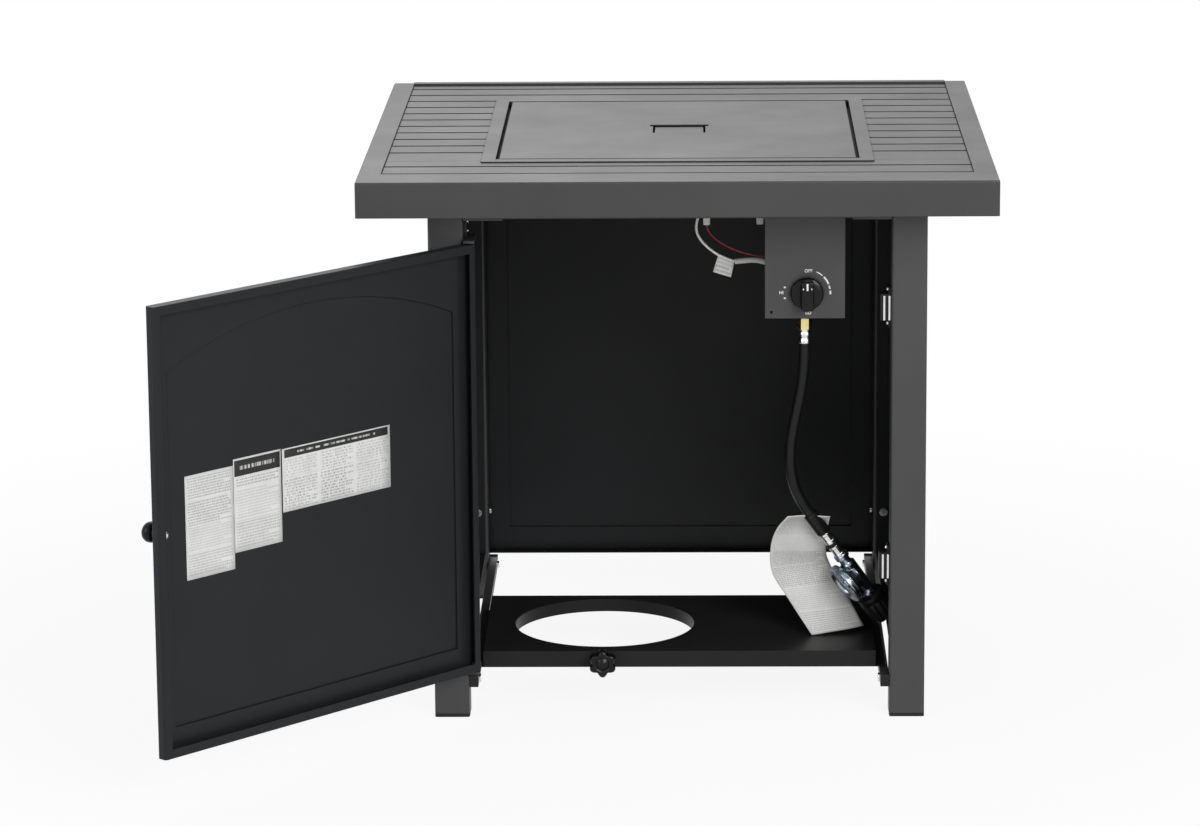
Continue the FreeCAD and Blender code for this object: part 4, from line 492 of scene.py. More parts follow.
def edge():
    """Where edges are, as the mask for a painted highlight, and a normal that rounds them."""
    group, given, out = new_group(
        "edge",
        [("Vector", "Vector", None), ("Radius", "Float", 0.001)],
        [("Mask", "Float"), ("Normal", "Vector")],
    )
    bevel = add(group, "ShaderNodeBevel", {"Radius": given["Radius"]}, samples=4)
    flat = add(group, "ShaderNodeNewGeometry")
    normals = {0: bevel.outputs["Normal"], 1: flat.outputs["Normal"]}
    dot = add(group, "ShaderNodeVectorMath", normals, operation="DOT_PRODUCT")
    near = ranged(group, dot.outputs["Value"], 0.985, 0.86)
    broken = ranged(group, noisy(group, given["Vector"], 60.0, 5.0), 0.35, 0.7, 0.15, 1.0)
    feed(group, out["Mask"], times(group, near, broken))
    feed(group, out["Normal"], bevel.outputs["Normal"])
    return group


def dust():
    """Dust that settles on what faces up."""
    group, given, out = new_group("dust", [("Vector", "Vector", None)], [("Mask", "Float")])
    normal = add(group, "ShaderNodeNewGeometry").outputs["Normal"]
    rise = add(group, "ShaderNodeSeparateXYZ", {0: normal}).outputs["Z"]
    facing = ranged(group, rise, 0.6, 1.0)
    cover = ranged(group, noisy(group, given["Vector"], 9.0, 8.0), 0.38, 0.75)
    feed(group, out["Mask"], times(group, facing, cover))
    return group


def crevice_shade():
    """Where a surface lies deep in a groove or a corner, found by ambient occlusion, as the mask for painted
    shade.
    """
    group, given, out = new_group("crevice_shade", [("Reach", "Float", 0.010)], [("Mask", "Float")])
    sky = add(group, "ShaderNodeAmbientOcclusion", {"Distance": given["Reach"]}, samples=6)
    feed(group, out["Mask"], ranged(group, sky.outputs["AO"], 0.35, 0.80, 1.0, 0.0))
    return group


def brushing():
    """Fine parallel scratches, drawn out along X."""
    group, given, out = new_group("brushing", [("Vector", "Vector", None)], [("Height", "Float")])
    sockets = {"Vector": given["Vector"], "Scale": (60.0, 2500.0, 2500.0)}
    stretched = add(group, "ShaderNodeMapping", sockets).outputs[0]
    feed(group, out["Height"], noisy(group, stretched, 1.0, 3.0))
    return group


def words(tree, across, row, scale):
    """A mask that breaks rows into pieces like words, without any letters."""
    place = add(tree, "ShaderNodeCombineXYZ", {0: times(tree, across, scale), 1: row})
    return ranged(tree, noisy(tree, place.outputs[0], 1.0, 3.0), 0.43, 0.56)


def within(tree, value, low, high):
    """One where a value lies between two others, and nought elsewhere."""
    above, below = maths(tree, "GREATER_THAN", value, low), maths(tree, "LESS_THAN", value, high)
    return times(tree, above, below)


def ruled():
    """Rows of broken grey rules in columns and blocks, and a headed band, from a paper's own map."""
    group, given, out = new_group(
        "ruled",
        [(name, "Float", 1.0) for name in ("Rows", "Blocks", "Columns", "Band")],
        [(name, "Float") for name in ("Rules", "Band", "Bars")],
    )
    paper_map = add(group, "ShaderNodeTexCoord").outputs["UV"]
    place = add(group, "ShaderNodeSeparateXYZ", {0: paper_map})
    across, up = place.outputs["X"], place.outputs["Y"]
    rows = times(group, up, given["Rows"])
    row, step = maths(group, "FRACT", rows), maths(group, "FLOOR", rows)
    split = times(group, across, given["Columns"])
    column, side = maths(group, "FLOOR", split), maths(group, "FRACT", split)
    seed = maths(group, "ADD", step, times(group, column, 57.0))
    shorter = add(group, "ShaderNodeTexWhiteNoise", {"W": seed}, noise_dimensions="1D").outputs["Value"]
    end = ranged(group, shorter, 0.0, 0.35, 0.70, 0.95)
    inside = within(group, side, 0.05, end)
    parts = times(group, up, given["Blocks"])
    block, depth = maths(group, "FLOOR", parts), maths(group, "FRACT", parts)
    mark = maths(group, "ADD", block, times(group, column, 13.0))
    weight = add(group, "ShaderNodeTexWhiteNoise", {"W": mark}, noise_dimensions="1D").outputs["Value"]
    below = maths(group, "SUBTRACT", 0.97, given["Band"])
    rules = times(
        group,
        maths(group, "GREATER_THAN", row, 0.42),
        words(group, across, seed, 60.0),
        inside,
        maths(group, "GREATER_THAN", depth, 0.06),
        ranged(group, weight, 0.0, 1.0, 0.35, 1.0),
        within(group, up, 0.03, below),
    )
    lower = maths(group, "SUBTRACT", 0.98, given["Band"])
    headed = times(
        group,
        within(group, across, 0.02, 0.98),
        within(group, up, lower, 0.98),
        maths(group, "GREATER_THAN", given["Band"], 0.0),
    )
    rise, height = maths(group, "SUBTRACT", up, lower), maths(group, "MAXIMUM", given["Band"], 0.01)
    bars = times(
        group,
        within(group, maths(group, "DIVIDE", rise, height), 0.38, 0.62),
        within(group, across, 0.14, 0.86),
        words(group, across, 3.0, 26.0),
    )
    feed(group, out["Rules"], rules)
    feed(group, out["Band"], headed)
    feed(group, out["Bars"], bars)
    return group


def seen_rays(tree):
    """One for a ray that shows the surroundings as they are, and nought for one that lights."""
    ray = add(tree, "ShaderNodeLightPath").outputs
    seen = maths(tree, "MAXIMUM", ray["Is Camera Ray"], ray["Is Glossy Ray"])
    return maths(tree, "MAXIMUM", seen, ray["Is Transmission Ray"])


def surface(name, base, roughness, metallic=0.0, **settings):
    """A material with its own shader, its object coordinates and its plain values."""
    material = bpy.data.materials.new(name)
    material.use_nodes = True
    tree = material.node_tree
    shader = tree.nodes["Principled BSDF"]
    shader.inputs["Base Color"].default_value = (*base, 1)
    shader.inputs["Roughness"].default_value = roughness
    shader.inputs["Metallic"].default_value = metallic
    for socket, value in settings.items():
        shader.inputs[socket.replace("_", " ")].default_value = value
    return material, tree, shader, add(tree, "ShaderNodeTexCoord").outputs["Object"]


def bumped(tree, shader, height, strength, distance, normal=None):
    """A bump from a height, over a rounded normal where one is given."""
    sockets = {"Height": height, "Strength": strength, "Distance": distance}
    if normal is not None:
        sockets["Normal"] = normal
    feed(tree, shader.inputs["Normal"], add(tree, "ShaderNodeBump", sockets).outputs[0])


def shade(base, factor):
    """A lighter or darker version of a colour, ready for a socket."""
    return (*[min(value * factor, 1) for value in base], 1)


def powder_coat(name, base, roughness, shine, dusty=0.03):
    """Charcoal powder coat: orange peel, slow clouding, a painted highlight along the edges, dust, and
    painted shade in grooves and corners.
    """
    material, tree, shader, where = surface(name, base, roughness, Specular_IOR_Level=shine)
    peel = use(tree, grain, Vector=where, Scale=1100.0, Cloud_Scale=11.0)
    rim = use(tree, edge, Vector=where, Radius=0.0012)
    settled = use(tree, dust, Vector=where)
    body = mixed(tree, peel.outputs["Cloud"], shade(base, 0.93), shade(base, 1.07))
    # Painted highlight: the edges are lightened where their reflections would be.
    wear_and_highlight = mixed(tree, times(tree, rim.outputs["Mask"], 0.35), body, shade(base, 1.9))
    grey = mixed(tree, times(tree, settled.outputs["Mask"], dusty), wear_and_highlight, (0.35, 0.34, 0.32, 1))
    # Painted shade: deep in grooves and corners the colour is darkened almost to black, and the surface is
    # made duller.
    deep = use(tree, crevice_shade, Reach=0.010).outputs["Mask"]
    dark = mixed(tree, times(tree, deep, 0.95), grey, shade(base, 0.04))
    feed(tree, shader.inputs["Base Color"], dark)
    clouded = ranged(tree, peel.outputs["Cloud"], 0, 1, roughness - 0.03, roughness + 0.04)
    duller = times(tree, deep, 0.4)
    feed(tree, shader.inputs["Roughness"], maths(tree, "ADD", clouded, duller, clamp=True))
    bumped(tree, shader, peel.outputs["Height"], 0.25, 0.0002, rim.outputs["Normal"])
    return material


def plated(name, base, roughness, mottle=0.12):
    """Plated or cast metal: small clouding, brushed streaks and a painted highlight along the edges."""
    material, tree, shader, where = surface(name, base, roughness, metallic=1.0)
    cast = use(tree, grain, Vector=where, Scale=700.0, Cloud_Scale=90.0)
    streaks = use(tree, brushing, Vector=where)
    rim = use(tree, edge, Vector=where, Radius=0.0004)
    body = mixed(tree, cast.outputs["Cloud"], shade(base, 1 - mottle), shade(base, 1 + mottle))
    # Painted highlight: the edges are lightened.
    feed(tree, shader.inputs["Base Color"], mixed(tree, rim.outputs["Mask"], body, shade(base, 1.25)))
    rough = ranged(tree, cast.outputs["Cloud"], 0, 1, roughness - 0.05, roughness + 0.08)
    feed(tree, shader.inputs["Roughness"], rough)
    bumped(tree, shader, streaks.outputs["Height"], 0.12, 0.0001, rim.outputs["Normal"])
    return material


def moulded(name, base, roughness, coat=0.0, shine=0.5, scale=1500.0, strength=0.1):
    """Moulded plastic, rubber or glaze: a faint grain, clouded gloss and a painted highlight along the edges.
    """
    material, tree, shader, where = surface(
        name, base, roughness, Coat_Weight=coat, Coat_Roughness=0.08, Specular_IOR_Level=shine
    )
    skin = use(tree, grain, Vector=where, Scale=scale, Cloud_Scale=60.0)
    rim = use(tree, edge, Vector=where, Radius=0.0004)
    body = mixed(tree, skin.outputs["Cloud"], shade(base, 0.88), shade(base, 1.12))
    # Painted highlight: the edges are lightened.
    wear_and_highlight = times(tree, rim.outputs["Mask"], 0.25)
    feed(tree, shader.inputs["Base Color"], mixed(tree, wear_and_highlight, body, shade(base, 2.0)))
    rough = ranged(tree, skin.outputs["Cloud"], 0, 1, max(roughness - 0.05, 0.02), roughness + 0.06)
    feed(tree, shader.inputs["Roughness"], rough)
    bumped(tree, shader, skin.outputs["Height"], strength, 0.0001, rim.outputs["Normal"])
    return material


def woven(name, base):
    """A braided sleeve: two crossing sets of strands."""
    material, tree, shader, where = surface(name, base, 0.6)
    waves = []
    for turn in ((0.3, 0.75, 0.0), (0.3, -0.75, 0.4)):
        leaning = add(tree, "ShaderNodeMapping", {"Vector": where, "Rotation": turn}).outputs[0]
        sockets = {"Vector": leaning, "Scale": 330.0, "Distortion": 2.5, "Detail": 1.5}
        waves.append(add(tree, "ShaderNodeTexWave", sockets).outputs["Fac"])
    strands = maths(tree, "MAXIMUM", *waves)
    fuzz = use(tree, grain, Vector=where, Scale=2200.0, Cloud_Scale=120.0)
    body = mixed(tree, strands, shade(base, 0.28), shade(base, 1.15))
    wear_and_highlight = mixed(tree, times(tree, fuzz.outputs["Cloud"], 0.3), body, shade(base, 0.8))
    feed(tree, shader.inputs["Base Color"], wear_and_highlight)
    bumped(tree, shader, strands, 0.6, 0.0004)
    return material


def printed_paper(name, rows, header=0.0, dark=0.72, blocks=3.0, columns=1.0):
    """White paper with generic rules, and a dark band with plain bars on it where there is one."""
    colours = bpy.context.scene.firepit_colours
    material, tree, shader, where = surface(name, colours.paper, 0.6, Specular_IOR_Level=0.3)
    fibres = use(tree, grain, Vector=where, Scale=1300.0, Cloud_Scale=45.0)
    page = use(tree, ruled, Rows=rows, Blocks=blocks, Columns=columns, Band=header)
    sheet = mixed(tree, fibres.outputs["Cloud"], shade(colours.paper, 0.93), shade(colours.paper, 1.04))
    ink = times(tree, page.outputs["Rules"], dark)
    lined = mixed(tree, ink, sheet, (0.10, 0.10, 0.10, 1))
    banded = mixed(tree, page.outputs["Band"], lined, (*colours.print_dark, 1))
    bars = times(tree, page.outputs["Bars"], times(tree, page.outputs["Band"], 0.8))
    feed(tree, shader.inputs["Base Color"], mixed(tree, bars, banded, (*colours.paper, 1)))
    bumped(tree, shader, fibres.outputs["Height"], 0.15, 0.0001)
    return material


def finish_named(slot):
    """The material for one of the record's finishes, built when it is first needed."""
    name = f"{slot}_finish"
    ready = bpy.data.materials.get(name)
    if ready:
        return ready
    colours = bpy.context.scene.firepit_colours
    makers = {
        "coat_top": lambda: powder_coat(name, colours.coat_top, 0.40, 0.47, dusty=0.14),
        "coat_frame": lambda: powder_coat(name, colours.coat_frame, 0.44, 0.40),
        "coat_panel": lambda: powder_coat(name, colours.coat_panel, 0.42, 0.17, dusty=0.005),
        "coat_tray": lambda: powder_coat(name, colours.coat_tray, 0.36, 0.13, dusty=0.01),
        "burner_steel": lambda: plated(name, colours.steel, 0.3),
        "zinc": lambda: plated(name, colours.zinc, 0.2),
        "brass": lambda: plated(name, colours.brass, 0.25, 0.06),
        "cast_zinc": lambda: plated(name, colours.cast, 0.22, 0.18),
        "black_gloss": lambda: moulded(name, colours.black_gloss, 0.26, 0.06, 0.18),
        "black_matte": lambda: moulded(name, colours.black_matte, 0.42, 0.0, 0.25),
        "white_plastic": lambda: moulded(name, colours.white, 0.35),
        "ceramic": lambda: moulded(name, colours.ceramic, 0.15, 0.8),
        "hose_rubber": lambda: moulded(name, colours.rubber, 0.34, 0.0, 0.20, 900.0, 0.15),
        "red_wire": lambda: moulded(name, colours.red, 0.35),
        "braid": lambda: woven(name, colours.braid),
        "paper": lambda: printed_paper(name, 84.0, blocks=7.0),
    }
    return makers[slot]()


# Operators


class FIREPIT_OT_camera(Operator):
    """Set the camera where the photograph was taken"""

    bl_idname = "firepit.camera"
    bl_label = "Camera"

    def execute(self, context):
        lens = bpy.data.cameras.new("Camera")
        lens.lens = context.scene.firepit_sizes.lens
        lens.sensor_width = 36
        lens.sensor_fit = "HORIZONTAL"
        lens.clip_end = 100
        level = math.cos(CAMERA_PITCH)
        ahead = Vector((math.sin(CAMERA_YAW) * level, math.cos(CAMERA_YAW) * level, -math.sin(CAMERA_PITCH)))
        right = Vector((math.cos(CAMERA_YAW), -math.sin(CAMERA_YAW), 0))
        above = right.cross(ahead)
        side = math.cos(CAMERA_ROLL) * right + math.sin(CAMERA_ROLL) * above
        top = -math.sin(CAMERA_ROLL) * right + math.cos(CAMERA_ROLL) * above
        camera = bpy.data.objects.new("Camera", lens)
        context.scene.collection.objects.link(camera)
        turn = Matrix((side, top, -ahead)).transposed().to_4x4()
        camera.matrix_world = Matrix.Translation(spot(CAMERA_PLACE)) @ turn
        context.scene.camera = camera
        return {"FINISHED"}


class FIREPIT_OT_hose(Operator):
    """Hang the gas hose from its ferrule to its bend guard"""

    bl_idname = "firepit.hose"
    bl_label = "Gas hose"

    def execute(self, context):
        cord_curve("hose", HOSE_ROUTE, context.scene.firepit_sizes.hose, "hose_rubber", "gas_hose")
        return {"FINISHED"}


class FIREPIT_OT_leads(Operator):
    """Lay the white lead, the red lead and the braided sleeve, with their plugs and flag"""

    bl_idname = "firepit.leads"
    bl_label = "Leads under the bowl"

    def execute(self, context):
        sizes = context.scene.firepit_sizes
        for name, route, diameter, slot, node in (
            ("igniter_wire", IGNITER_LEAD_ROUTE, sizes.igniter_lead, "white_plastic", "igniter_lead"),
            ("sensor_wire", SENSOR_LEAD_ROUTE, sizes.sensor_lead, "red_wire", "sensor_lead"),
            ("braided_sleeve", BRAID_ROUTE, sizes.braid, "braid", "lead_braid"),
        ):
            cord_curve(name, route, diameter, slot, node)
        bm = bmesh.new()
        for low, high in LEAD_PLUGS:
            box_mesh(bm, low, high)
        middle = Matrix.Translation(MIDDLE)
        plugs = keep("lead_plugs", bm, middle, "table", "white_plastic", "lead_connectors")
        soften(plugs, 0.0012)
        bm = sheet_grid(6, 6)
        corners = [Vector(corner) for corner in FLAG_CORNERS]
        for vert in bm.verts:
            across, down = vert.co.x + 0.5, 0.5 - vert.co.y
            upper = corners[0].lerp(corners[1], across)
            lower = corners[3].lerp(corners[2], across)
            vert.co = upper.lerp(lower, down)
            vert.co.y += 0.0012 * math.sin(3 * down + 2 * across)
        barred = printed_paper("flag_paper", 4.0, dark=0.85, blocks=2.0)
        flag = keep("lead_flag", bm, middle, "table", "paper", material=barred, sharp=SHARP_FOLD)
        thicken(flag, sizes.paper)
        return {"FINISHED"}


class FIREPIT_OT_hose_fittings(Operator):
    """Turn the ferrule, the bend guard and the crimped ends on the hose"""

    bl_idname = "firepit.hose_fittings"
    bl_label = "Hose fittings"

    def execute(self, context):
        ferrule = turned((0, 0), (0.0064, 0), (0.0070, 0.0006), (0.0070, 0.0045), (0.0063, 0.0055),
                         (0.0063, 0.0080), (0.0070, 0.0090), (0.0070, 0.0118), (0.0063, 0.0128),
                         (0.0063, 0.0150), (0.0070, 0.0160), (0.0070, 0.0170), (0, 0.0170))
        keep("crimped_ferrule", ferrule, placed(HOSE_ROUTE[0]), "table", "zinc", "hose_ferrule")
        bm = bmesh.new()
        guard = ((0, 0), (0.0074, 0), (0.0085, 0.0012), (0.0085, 0.0275), (0.0080, 0.0290), (0, 0.0290))
        lathe(bm, guard)
        collar = ((0, 0), (0.0076, 0), (0.0082, 0.0006), (0.0082, 0.0034), (0.0076, 0.0040), (0, 0.0040))
        lathe(bm, shifted(collar, COLLAR_START))
        keep("bend_guard", bm, on_chain(0), "table", "hose_rubber", "hose_sleeve")
        bm = bmesh.new()
        crimp = ((0, 0), (0.0066, 0), (0.0072, 0.0006), (0.0072, 0.0035), (0.0067, 0.0042), (0.0067, 0.0115),
                 (0.0072, 0.0122), (0.0072, 0.0154), (0.0066, 0.0160), (0, 0.0160))
        for start in CRIMP_STARTS:
            lathe(bm, shifted(crimp, start))
        keep("crimped_ends", bm, on_chain(0), "table", "zinc", "hose_crimps")
        return {"FINISHED"}


class FIREPIT_OT_regulator(Operator):
    """Turn the regulator, its dished cap and the fluted gas nut"""

    bl_idname = "firepit.regulator"
    bl_label = "Regulator"

    def execute(self, context):
        sizes = context.scene.firepit_sizes
        bm = bmesh.new()
        body = ((0, 0), (0.0080, 0), (0.0087, 0.0007), (0.0087, 0.0053), (0.0078, 0.0061), (0.0066, 0.0070),
                (0.0066, 0.0120), (0.0076, 0.0138), (0.0095, 0.0150), (0.0095, 0.0515), (0.0085, 0.0538),
                (0.0066, 0.0550), (0.0083, 0.0578), (0.0085, 0.0583), (0.0085, 0.0615), (0.0080, 0.0620))
        nipple = ((0.0050, 0.0620), (0.0050, 0.0665), (0.0090, 0.0690), (0.0090, 0.0720), (0.0050, 0.0900))
        lathe(bm, (*body, *nipple, (0, 0.0910)))
        boss = turned((0, 0), (0.0155, 0), (0.0155, 0.0055), (0.0180, 0.0096), (0.0180, CAP_OFFSET),
                      (0, CAP_OFFSET))
        aside = Matrix.Translation((0, 0, CAP_START - REGULATOR_START)) @ Matrix.Rotation(math.pi / 2, 4, "Y")
        bmesh.ops.transform(boss, matrix=aside, verts=boss.verts)
        join(bm, boss)
        keep("regulator_body", bm, on_chain(REGULATOR_START), "table", "cast_zinc", "regulator")
        rim = sizes.cap
        cap = turned((0, 0), (rim - 0.0030, 0), (rim - 0.0008, 0.0010), (rim, 0.0028), (rim, 0.0040),
                     (rim - 0.0012, 0.0047), (rim - 0.0012, 0.0055), (rim, 0.0062), (rim, 0.0084),
                     (rim - 0.0010, 0.0096), (rim - 0.0024, 0.0100), (rim - 0.0036, 0.0092),
                     (rim - 0.0048, 0.0064), (rim - 0.0085, 0.0056), (rim - 0.0096, 0.0061),
                     (rim - 0.0110, 0.0061), (rim - 0.0124, 0.0054), (0.0068, 0.0058), (0.0060, 0.0072),
                     (0.0036, 0.0074), (0.0030, 0.0064), (0, 0.0064), steps=96)
        dish = placed(CHAIN_START + CHAIN_WAY * CAP_START + CAP_WAY * CAP_OFFSET, CAP_WAY, CHAIN_WAY)
        keep("regulator_dish", cap, dish, "table", "cast_zinc", "regulator_cap")
        bm = bmesh.new()
        turns = [math.tau * n / FLUTE_STEPS for n in range(FLUTE_STEPS)]
        flute = 0.0014
        levels = ((0.0, 0.0022, 0), (0.0012, 0.0004, 0), (0.0030, 0, 0), (0.0082, 0, 0), (0.0092, 0.0008, 0),
                  (0.0104, 0.0001, flute), (0.0310, 0, flute), (0.0336, 0.0008, flute),
                  (0.0350, 0.0024, flute))
        rings = []
        for height, inset, depth in levels:
            reach = [sizes.nut - inset - depth * max(0.0, math.cos(12 * turn)) ** 2 for turn in turns]
            rings.append([(math.cos(turn) * r, math.sin(turn) * r, height) for turn, r in zip(turns, reach)])
        loops = ringed(bm, rings)
        for radius, height, outer in ((0.0051, 0.0, loops[0]), (0.0120, 0.0350, loops[-1])):
            ring = bmesh.ops.create_circle(bm, segments=FLUTE_STEPS, radius=radius,
                                           matrix=Matrix.Translation((0, 0, height)))["verts"]
            inner = list({link for vert in ring for link in vert.link_edges})
            bmesh.ops.bridge_loops(bm, edges=inner + outer)
        bmesh.ops.recalc_face_normals(bm, faces=bm.faces)
        keep("fluted_nut", bm, on_chain(NUT_START), "gas_nut", "black_matte", "gas_nut", sharp=40)
        return {"FINISHED"}


class FIREPIT_OT_hose_tag(Operator):
    """Hang the curled paper tag behind the bend guard"""

    bl_idname = "firepit.hose_tag"
    bl_label = "Paper tag"

    def execute(self, context):
        bm = sheet_grid(16, 36)
        lefts, rights = [row[0] for row in TAG_ROWS], [row[1] for row in TAG_ROWS]
        for vert in bm.verts:
            across, down = vert.co.x + 0.5, 0.5 - vert.co.y
            left, right = along(lefts, down), along(rights, down)
            point = left.lerp(right, across)
            bow = math.sin(math.pi * across)
            ripple = noise.noise(Vector((across * 3, down * 5, 1.7)))
            point.y += 0.0045 * bow * (1 - down) - 0.0030 * bow * down + 0.0016 * ripple
            vert.co = point
        middle = Matrix.Translation(MIDDLE)
        tag = keep("paper_tag", bm, middle, "table", "paper", "hose_tag", sharp=SHARP_FOLD)
        thicken(tag, context.scene.firepit_sizes.paper)
        return {"FINISHED"}


class FIREPIT_OT_door_labels(Operator):
    """Stick the three plain labels inside the door"""

    bl_idname = "firepit.door_labels"
    bl_label = "Door labels"

    def execute(self, context):
        for number, (name, (start, low, end, high), rows, header, blocks, columns) in enumerate(LABELS):
            bm = sheet_grid(10, 10)
            for vert in bm.verts:
                across, up = vert.co.x + 0.5, vert.co.y + 0.5
                lift = 0.0002 + 0.00004 * noise.noise(Vector((across * 4, up * 4, start)))
                vert.co = Vector((end + (start - end) * across, LABEL_DEPTH + lift, low + (high - low) * up))
            bmesh.ops.recalc_face_normals(bm, faces=bm.faces)
            paper = printed_paper(f"{name}_paper", rows, header, blocks=blocks, columns=columns)
            label = keep(name, bm, on_door(), "door", "paper", material=paper, sharp=SHARP_FOLD)
            thicken(label, context.scene.firepit_sizes.paper)
            if number == 0:
                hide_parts("door_labels")
        return {"FINISHED"}


class FIREPIT_OT_control_knob(Operator):
    """Shape the control knob: a round skirt, a grip bar and its white pointer"""

    bl_idname = "firepit.control_knob"
    bl_label = "Control knob"

    def execute(self, context):
        skirt = context.scene.firepit_sizes.knob_skirt
        bm = turned((0, 0), (skirt - 0.0004, 0), (skirt, 0.0005), (skirt, 0.0020), (skirt - 0.0012, 0.0036),
                    (skirt - 0.0040, 0.0044), (0.0110, 0.0050), (0, 0.0052))
        grip = bmesh.new()
        bmesh.ops.create_cube(grip, size=1, matrix=Matrix.Diagonal((0.0160, 0.0346, 0.0156, 1)))
        bmesh.ops.translate(grip, vec=(0, 0, 0.0122), verts=grip.verts)
        corners = [item for item in grip.edges if abs(item.verts[0].co.z - item.verts[1].co.z) > 0.01]
        rounded(grip, corners, 0.0050, 6)
        crown = [item for item in grip.edges if all(vert.co.z > 0.0199 for vert in item.verts)]
        rounded(grip, crown, 0.0022, 4)
        bmesh.ops.subdivide_edges(grip, edges=[item for item in grip.edges if item.calc_length() > 0.012],
                                  cuts=6, use_grid_fill=True)
        for vert in grip.verts:
            waist = 1 - (vert.co.y / 0.0173) ** 2
            vert.co.x *= 1 - 0.13 * waist * min(max((vert.co.z - 0.004) / 0.008, 0), 1)
        join(bm, grip)
        front = placed(KNOB_PLACE, FRONT)
        knob = keep("dial_knob", bm, front, "control_knob", "black_gloss", "control_knob", sharp=30)
        soften(knob, 0.0004)
        bm = bmesh.new()
        for left, low, right, high, top in (
            (-0.0010, 0.0070, 0.0010, 0.0150, 0.02015),
            (-0.0052, 0.0080, -0.0040, 0.0098, 0.02012),
            (0.0040, 0.0080, 0.0052, 0.0098, 0.02012),
        ):
            box_mesh(bm, (left, low, 0.0196), (right, high, top))
        keep("dial_pointer", bm, front, "control_knob", "white_plastic")
        return {"FINISHED"}


class FIREPIT_OT_dial_marks(Operator):
    """Print the plain marks round the dial on the control plate"""

    bl_idname = "firepit.dial_marks"
    bl_label = "Dial marks"

    def execute(self, context):
        light = context.scene.firepit_colours.print_light
        ink, tree, shader, where = surface("dial_ink", light, 0.5)
        wear_and_highlight = use(tree, grain, Vector=where, Scale=1800.0, Cloud_Scale=400.0)
        faded = mixed(tree, wear_and_highlight.outputs["Cloud"], shade(light, 0.8), shade(light, 1.0))
        feed(tree, shader.inputs["Base Color"], faded)
        bm = bmesh.new()
        for text, across, up in (("OFF", 0.0015, 0.0250), ("HI", -0.0290, 0.0000), ("LO", 0.0015, -0.0232)):
            letters = bpy.data.curves.new("letters", "FONT")
            letters.body = text
            letters.size = 0.0052
            letters.offset = 0.00012
            letters.align_x = "CENTER"
            letters.align_y = "CENTER"
            letters.resolution_u = 3
            stand = bpy.data.objects.new("letters", letters)
            flat = bpy.data.meshes.new_from_object(stand)
            flat.transform(Matrix.Translation((across, up, 0)))
            bm.from_mesh(flat)
            bpy.data.objects.remove(stand)
            bpy.data.curves.remove(letters)
            bpy.data.meshes.remove(flat)
        for start, end, inner, outer in (
            (66, 48, 0.0256, 0.0268),
            (44, 22, 0.0252, 0.0272),
            (18, 9, 0.0253, 0.0271),
            (5, -4, 0.0252, 0.0274),
        ):
            way = Vector((math.cos(math.radians(start)), math.sin(math.radians(start)), 0))
            verts = [bm.verts.new(way * radius) for radius in (inner, outer)]
            bmesh.ops.spin(bm, geom=verts + [bm.edges.new(verts)], axis=UP, cent=(0, 0, 0),
                           angle=math.radians(end - start), steps=8)
        for low, high in ((0.0052, 0.0072), (-0.0072, -0.0052)):
            corners = ((-0.0262, low), (-0.0240, low), (-0.0240, high), (-0.0262, high))
            bm.faces.new([bm.verts.new((x, y, 0)) for x, y in corners])
        bmesh.ops.recalc_face_normals(bm, faces=bm.faces)
        for face in bm.faces:
            if face.normal.z < 0:
                face.normal_flip()
        flat_on = placed(PRINT_PLACE, FRONT)
        marks = keep("dial_marks", bm, flat_on, "table", "white_plastic", material=ink)
        thicken(marks, 0.00006)
        return {"FINISHED"}


class FIREPIT_OT_star_knob(Operator):
    """Shape the six-lobed knob of the tank screw"""

    bl_idname = "firepit.star_knob"
    bl_label = "Star knob"

    def execute(self, context):
        tip = context.scene.firepit_sizes.star_tip
        bm = bmesh.new()
        levels = ((0.0, 0.62, 0.3), (0.0, 0.84, 0.5), (0.0012, 0.93, 0.8), (0.0035, 0.99, 1.0),
                  (0.0085, 1.0, 1.0), (0.0115, 0.97, 1.0), (0.0134, 0.88, 0.9), (0.0140, 0.72, 0.6),
                  (0.0136, 0.50, 0.1), (0.0120, 0.42, 0.0), (0.0124, 0.36, 0.0), (0.0142, 0.22, 0.0))
        rings = []
        for height, spread, depth in levels:
            ring = []
            for turn in (math.tau * n / FLUTE_STEPS for n in range(FLUTE_STEPS)):
                lobe = (0.5 + 0.5 * math.cos(6 * (turn - math.pi / 2))) ** 0.8
                radius = tip * spread * (1 - 0.24 * depth * (1 - lobe))
                ring.append((radius * math.cos(turn), radius * math.sin(turn), height))
            rings.append(ring)
        loops = ringed(bm, rings)
        for outer in (loops[0], loops[-1]):
            bmesh.ops.contextual_create(bm, geom=outer)
        bmesh.ops.recalc_face_normals(bm, faces=bm.faces)
        front = placed(STAR_PLACE, FRONT)
        keep("star_grip", bm, front, "tank_screw", "black_gloss", "tank_screw_knob", sharp=50)
        return {"FINISHED"}


class FIREPIT_OT_door_knob(Operator):
    """Turn the door's round pull knob"""

    bl_idname = "firepit.door_knob"
    bl_label = "Pull knob"

    def execute(self, context):
        r = context.scene.firepit_sizes.pull
        knob = turned((0, 0), (0.0062, 0), (0.0066, 0.0006), (0.0066, 0.0018), (0.0054, 0.0032),
                      (0.0050, 0.0060), (0.0050, 0.0125), (0.0058, 0.0142), (r - 0.0022, 0.0158),
                      (r - 0.0006, 0.0178), (r, 0.0200), (r, 0.0226), (r - 0.0008, 0.0248),
                      (r - 0.0026, 0.0270), (r - 0.0052, 0.0284), (0.0030, 0.0290), (0, 0.0290))
        outside = on_door() @ Matrix.Translation(PULL_PLACE) @ upright_to(FRONT, (1, 0, 0))
        keep("pull_knob", knob, outside, "door", "black_gloss", "door_knob")
        return {"FINISHED"}


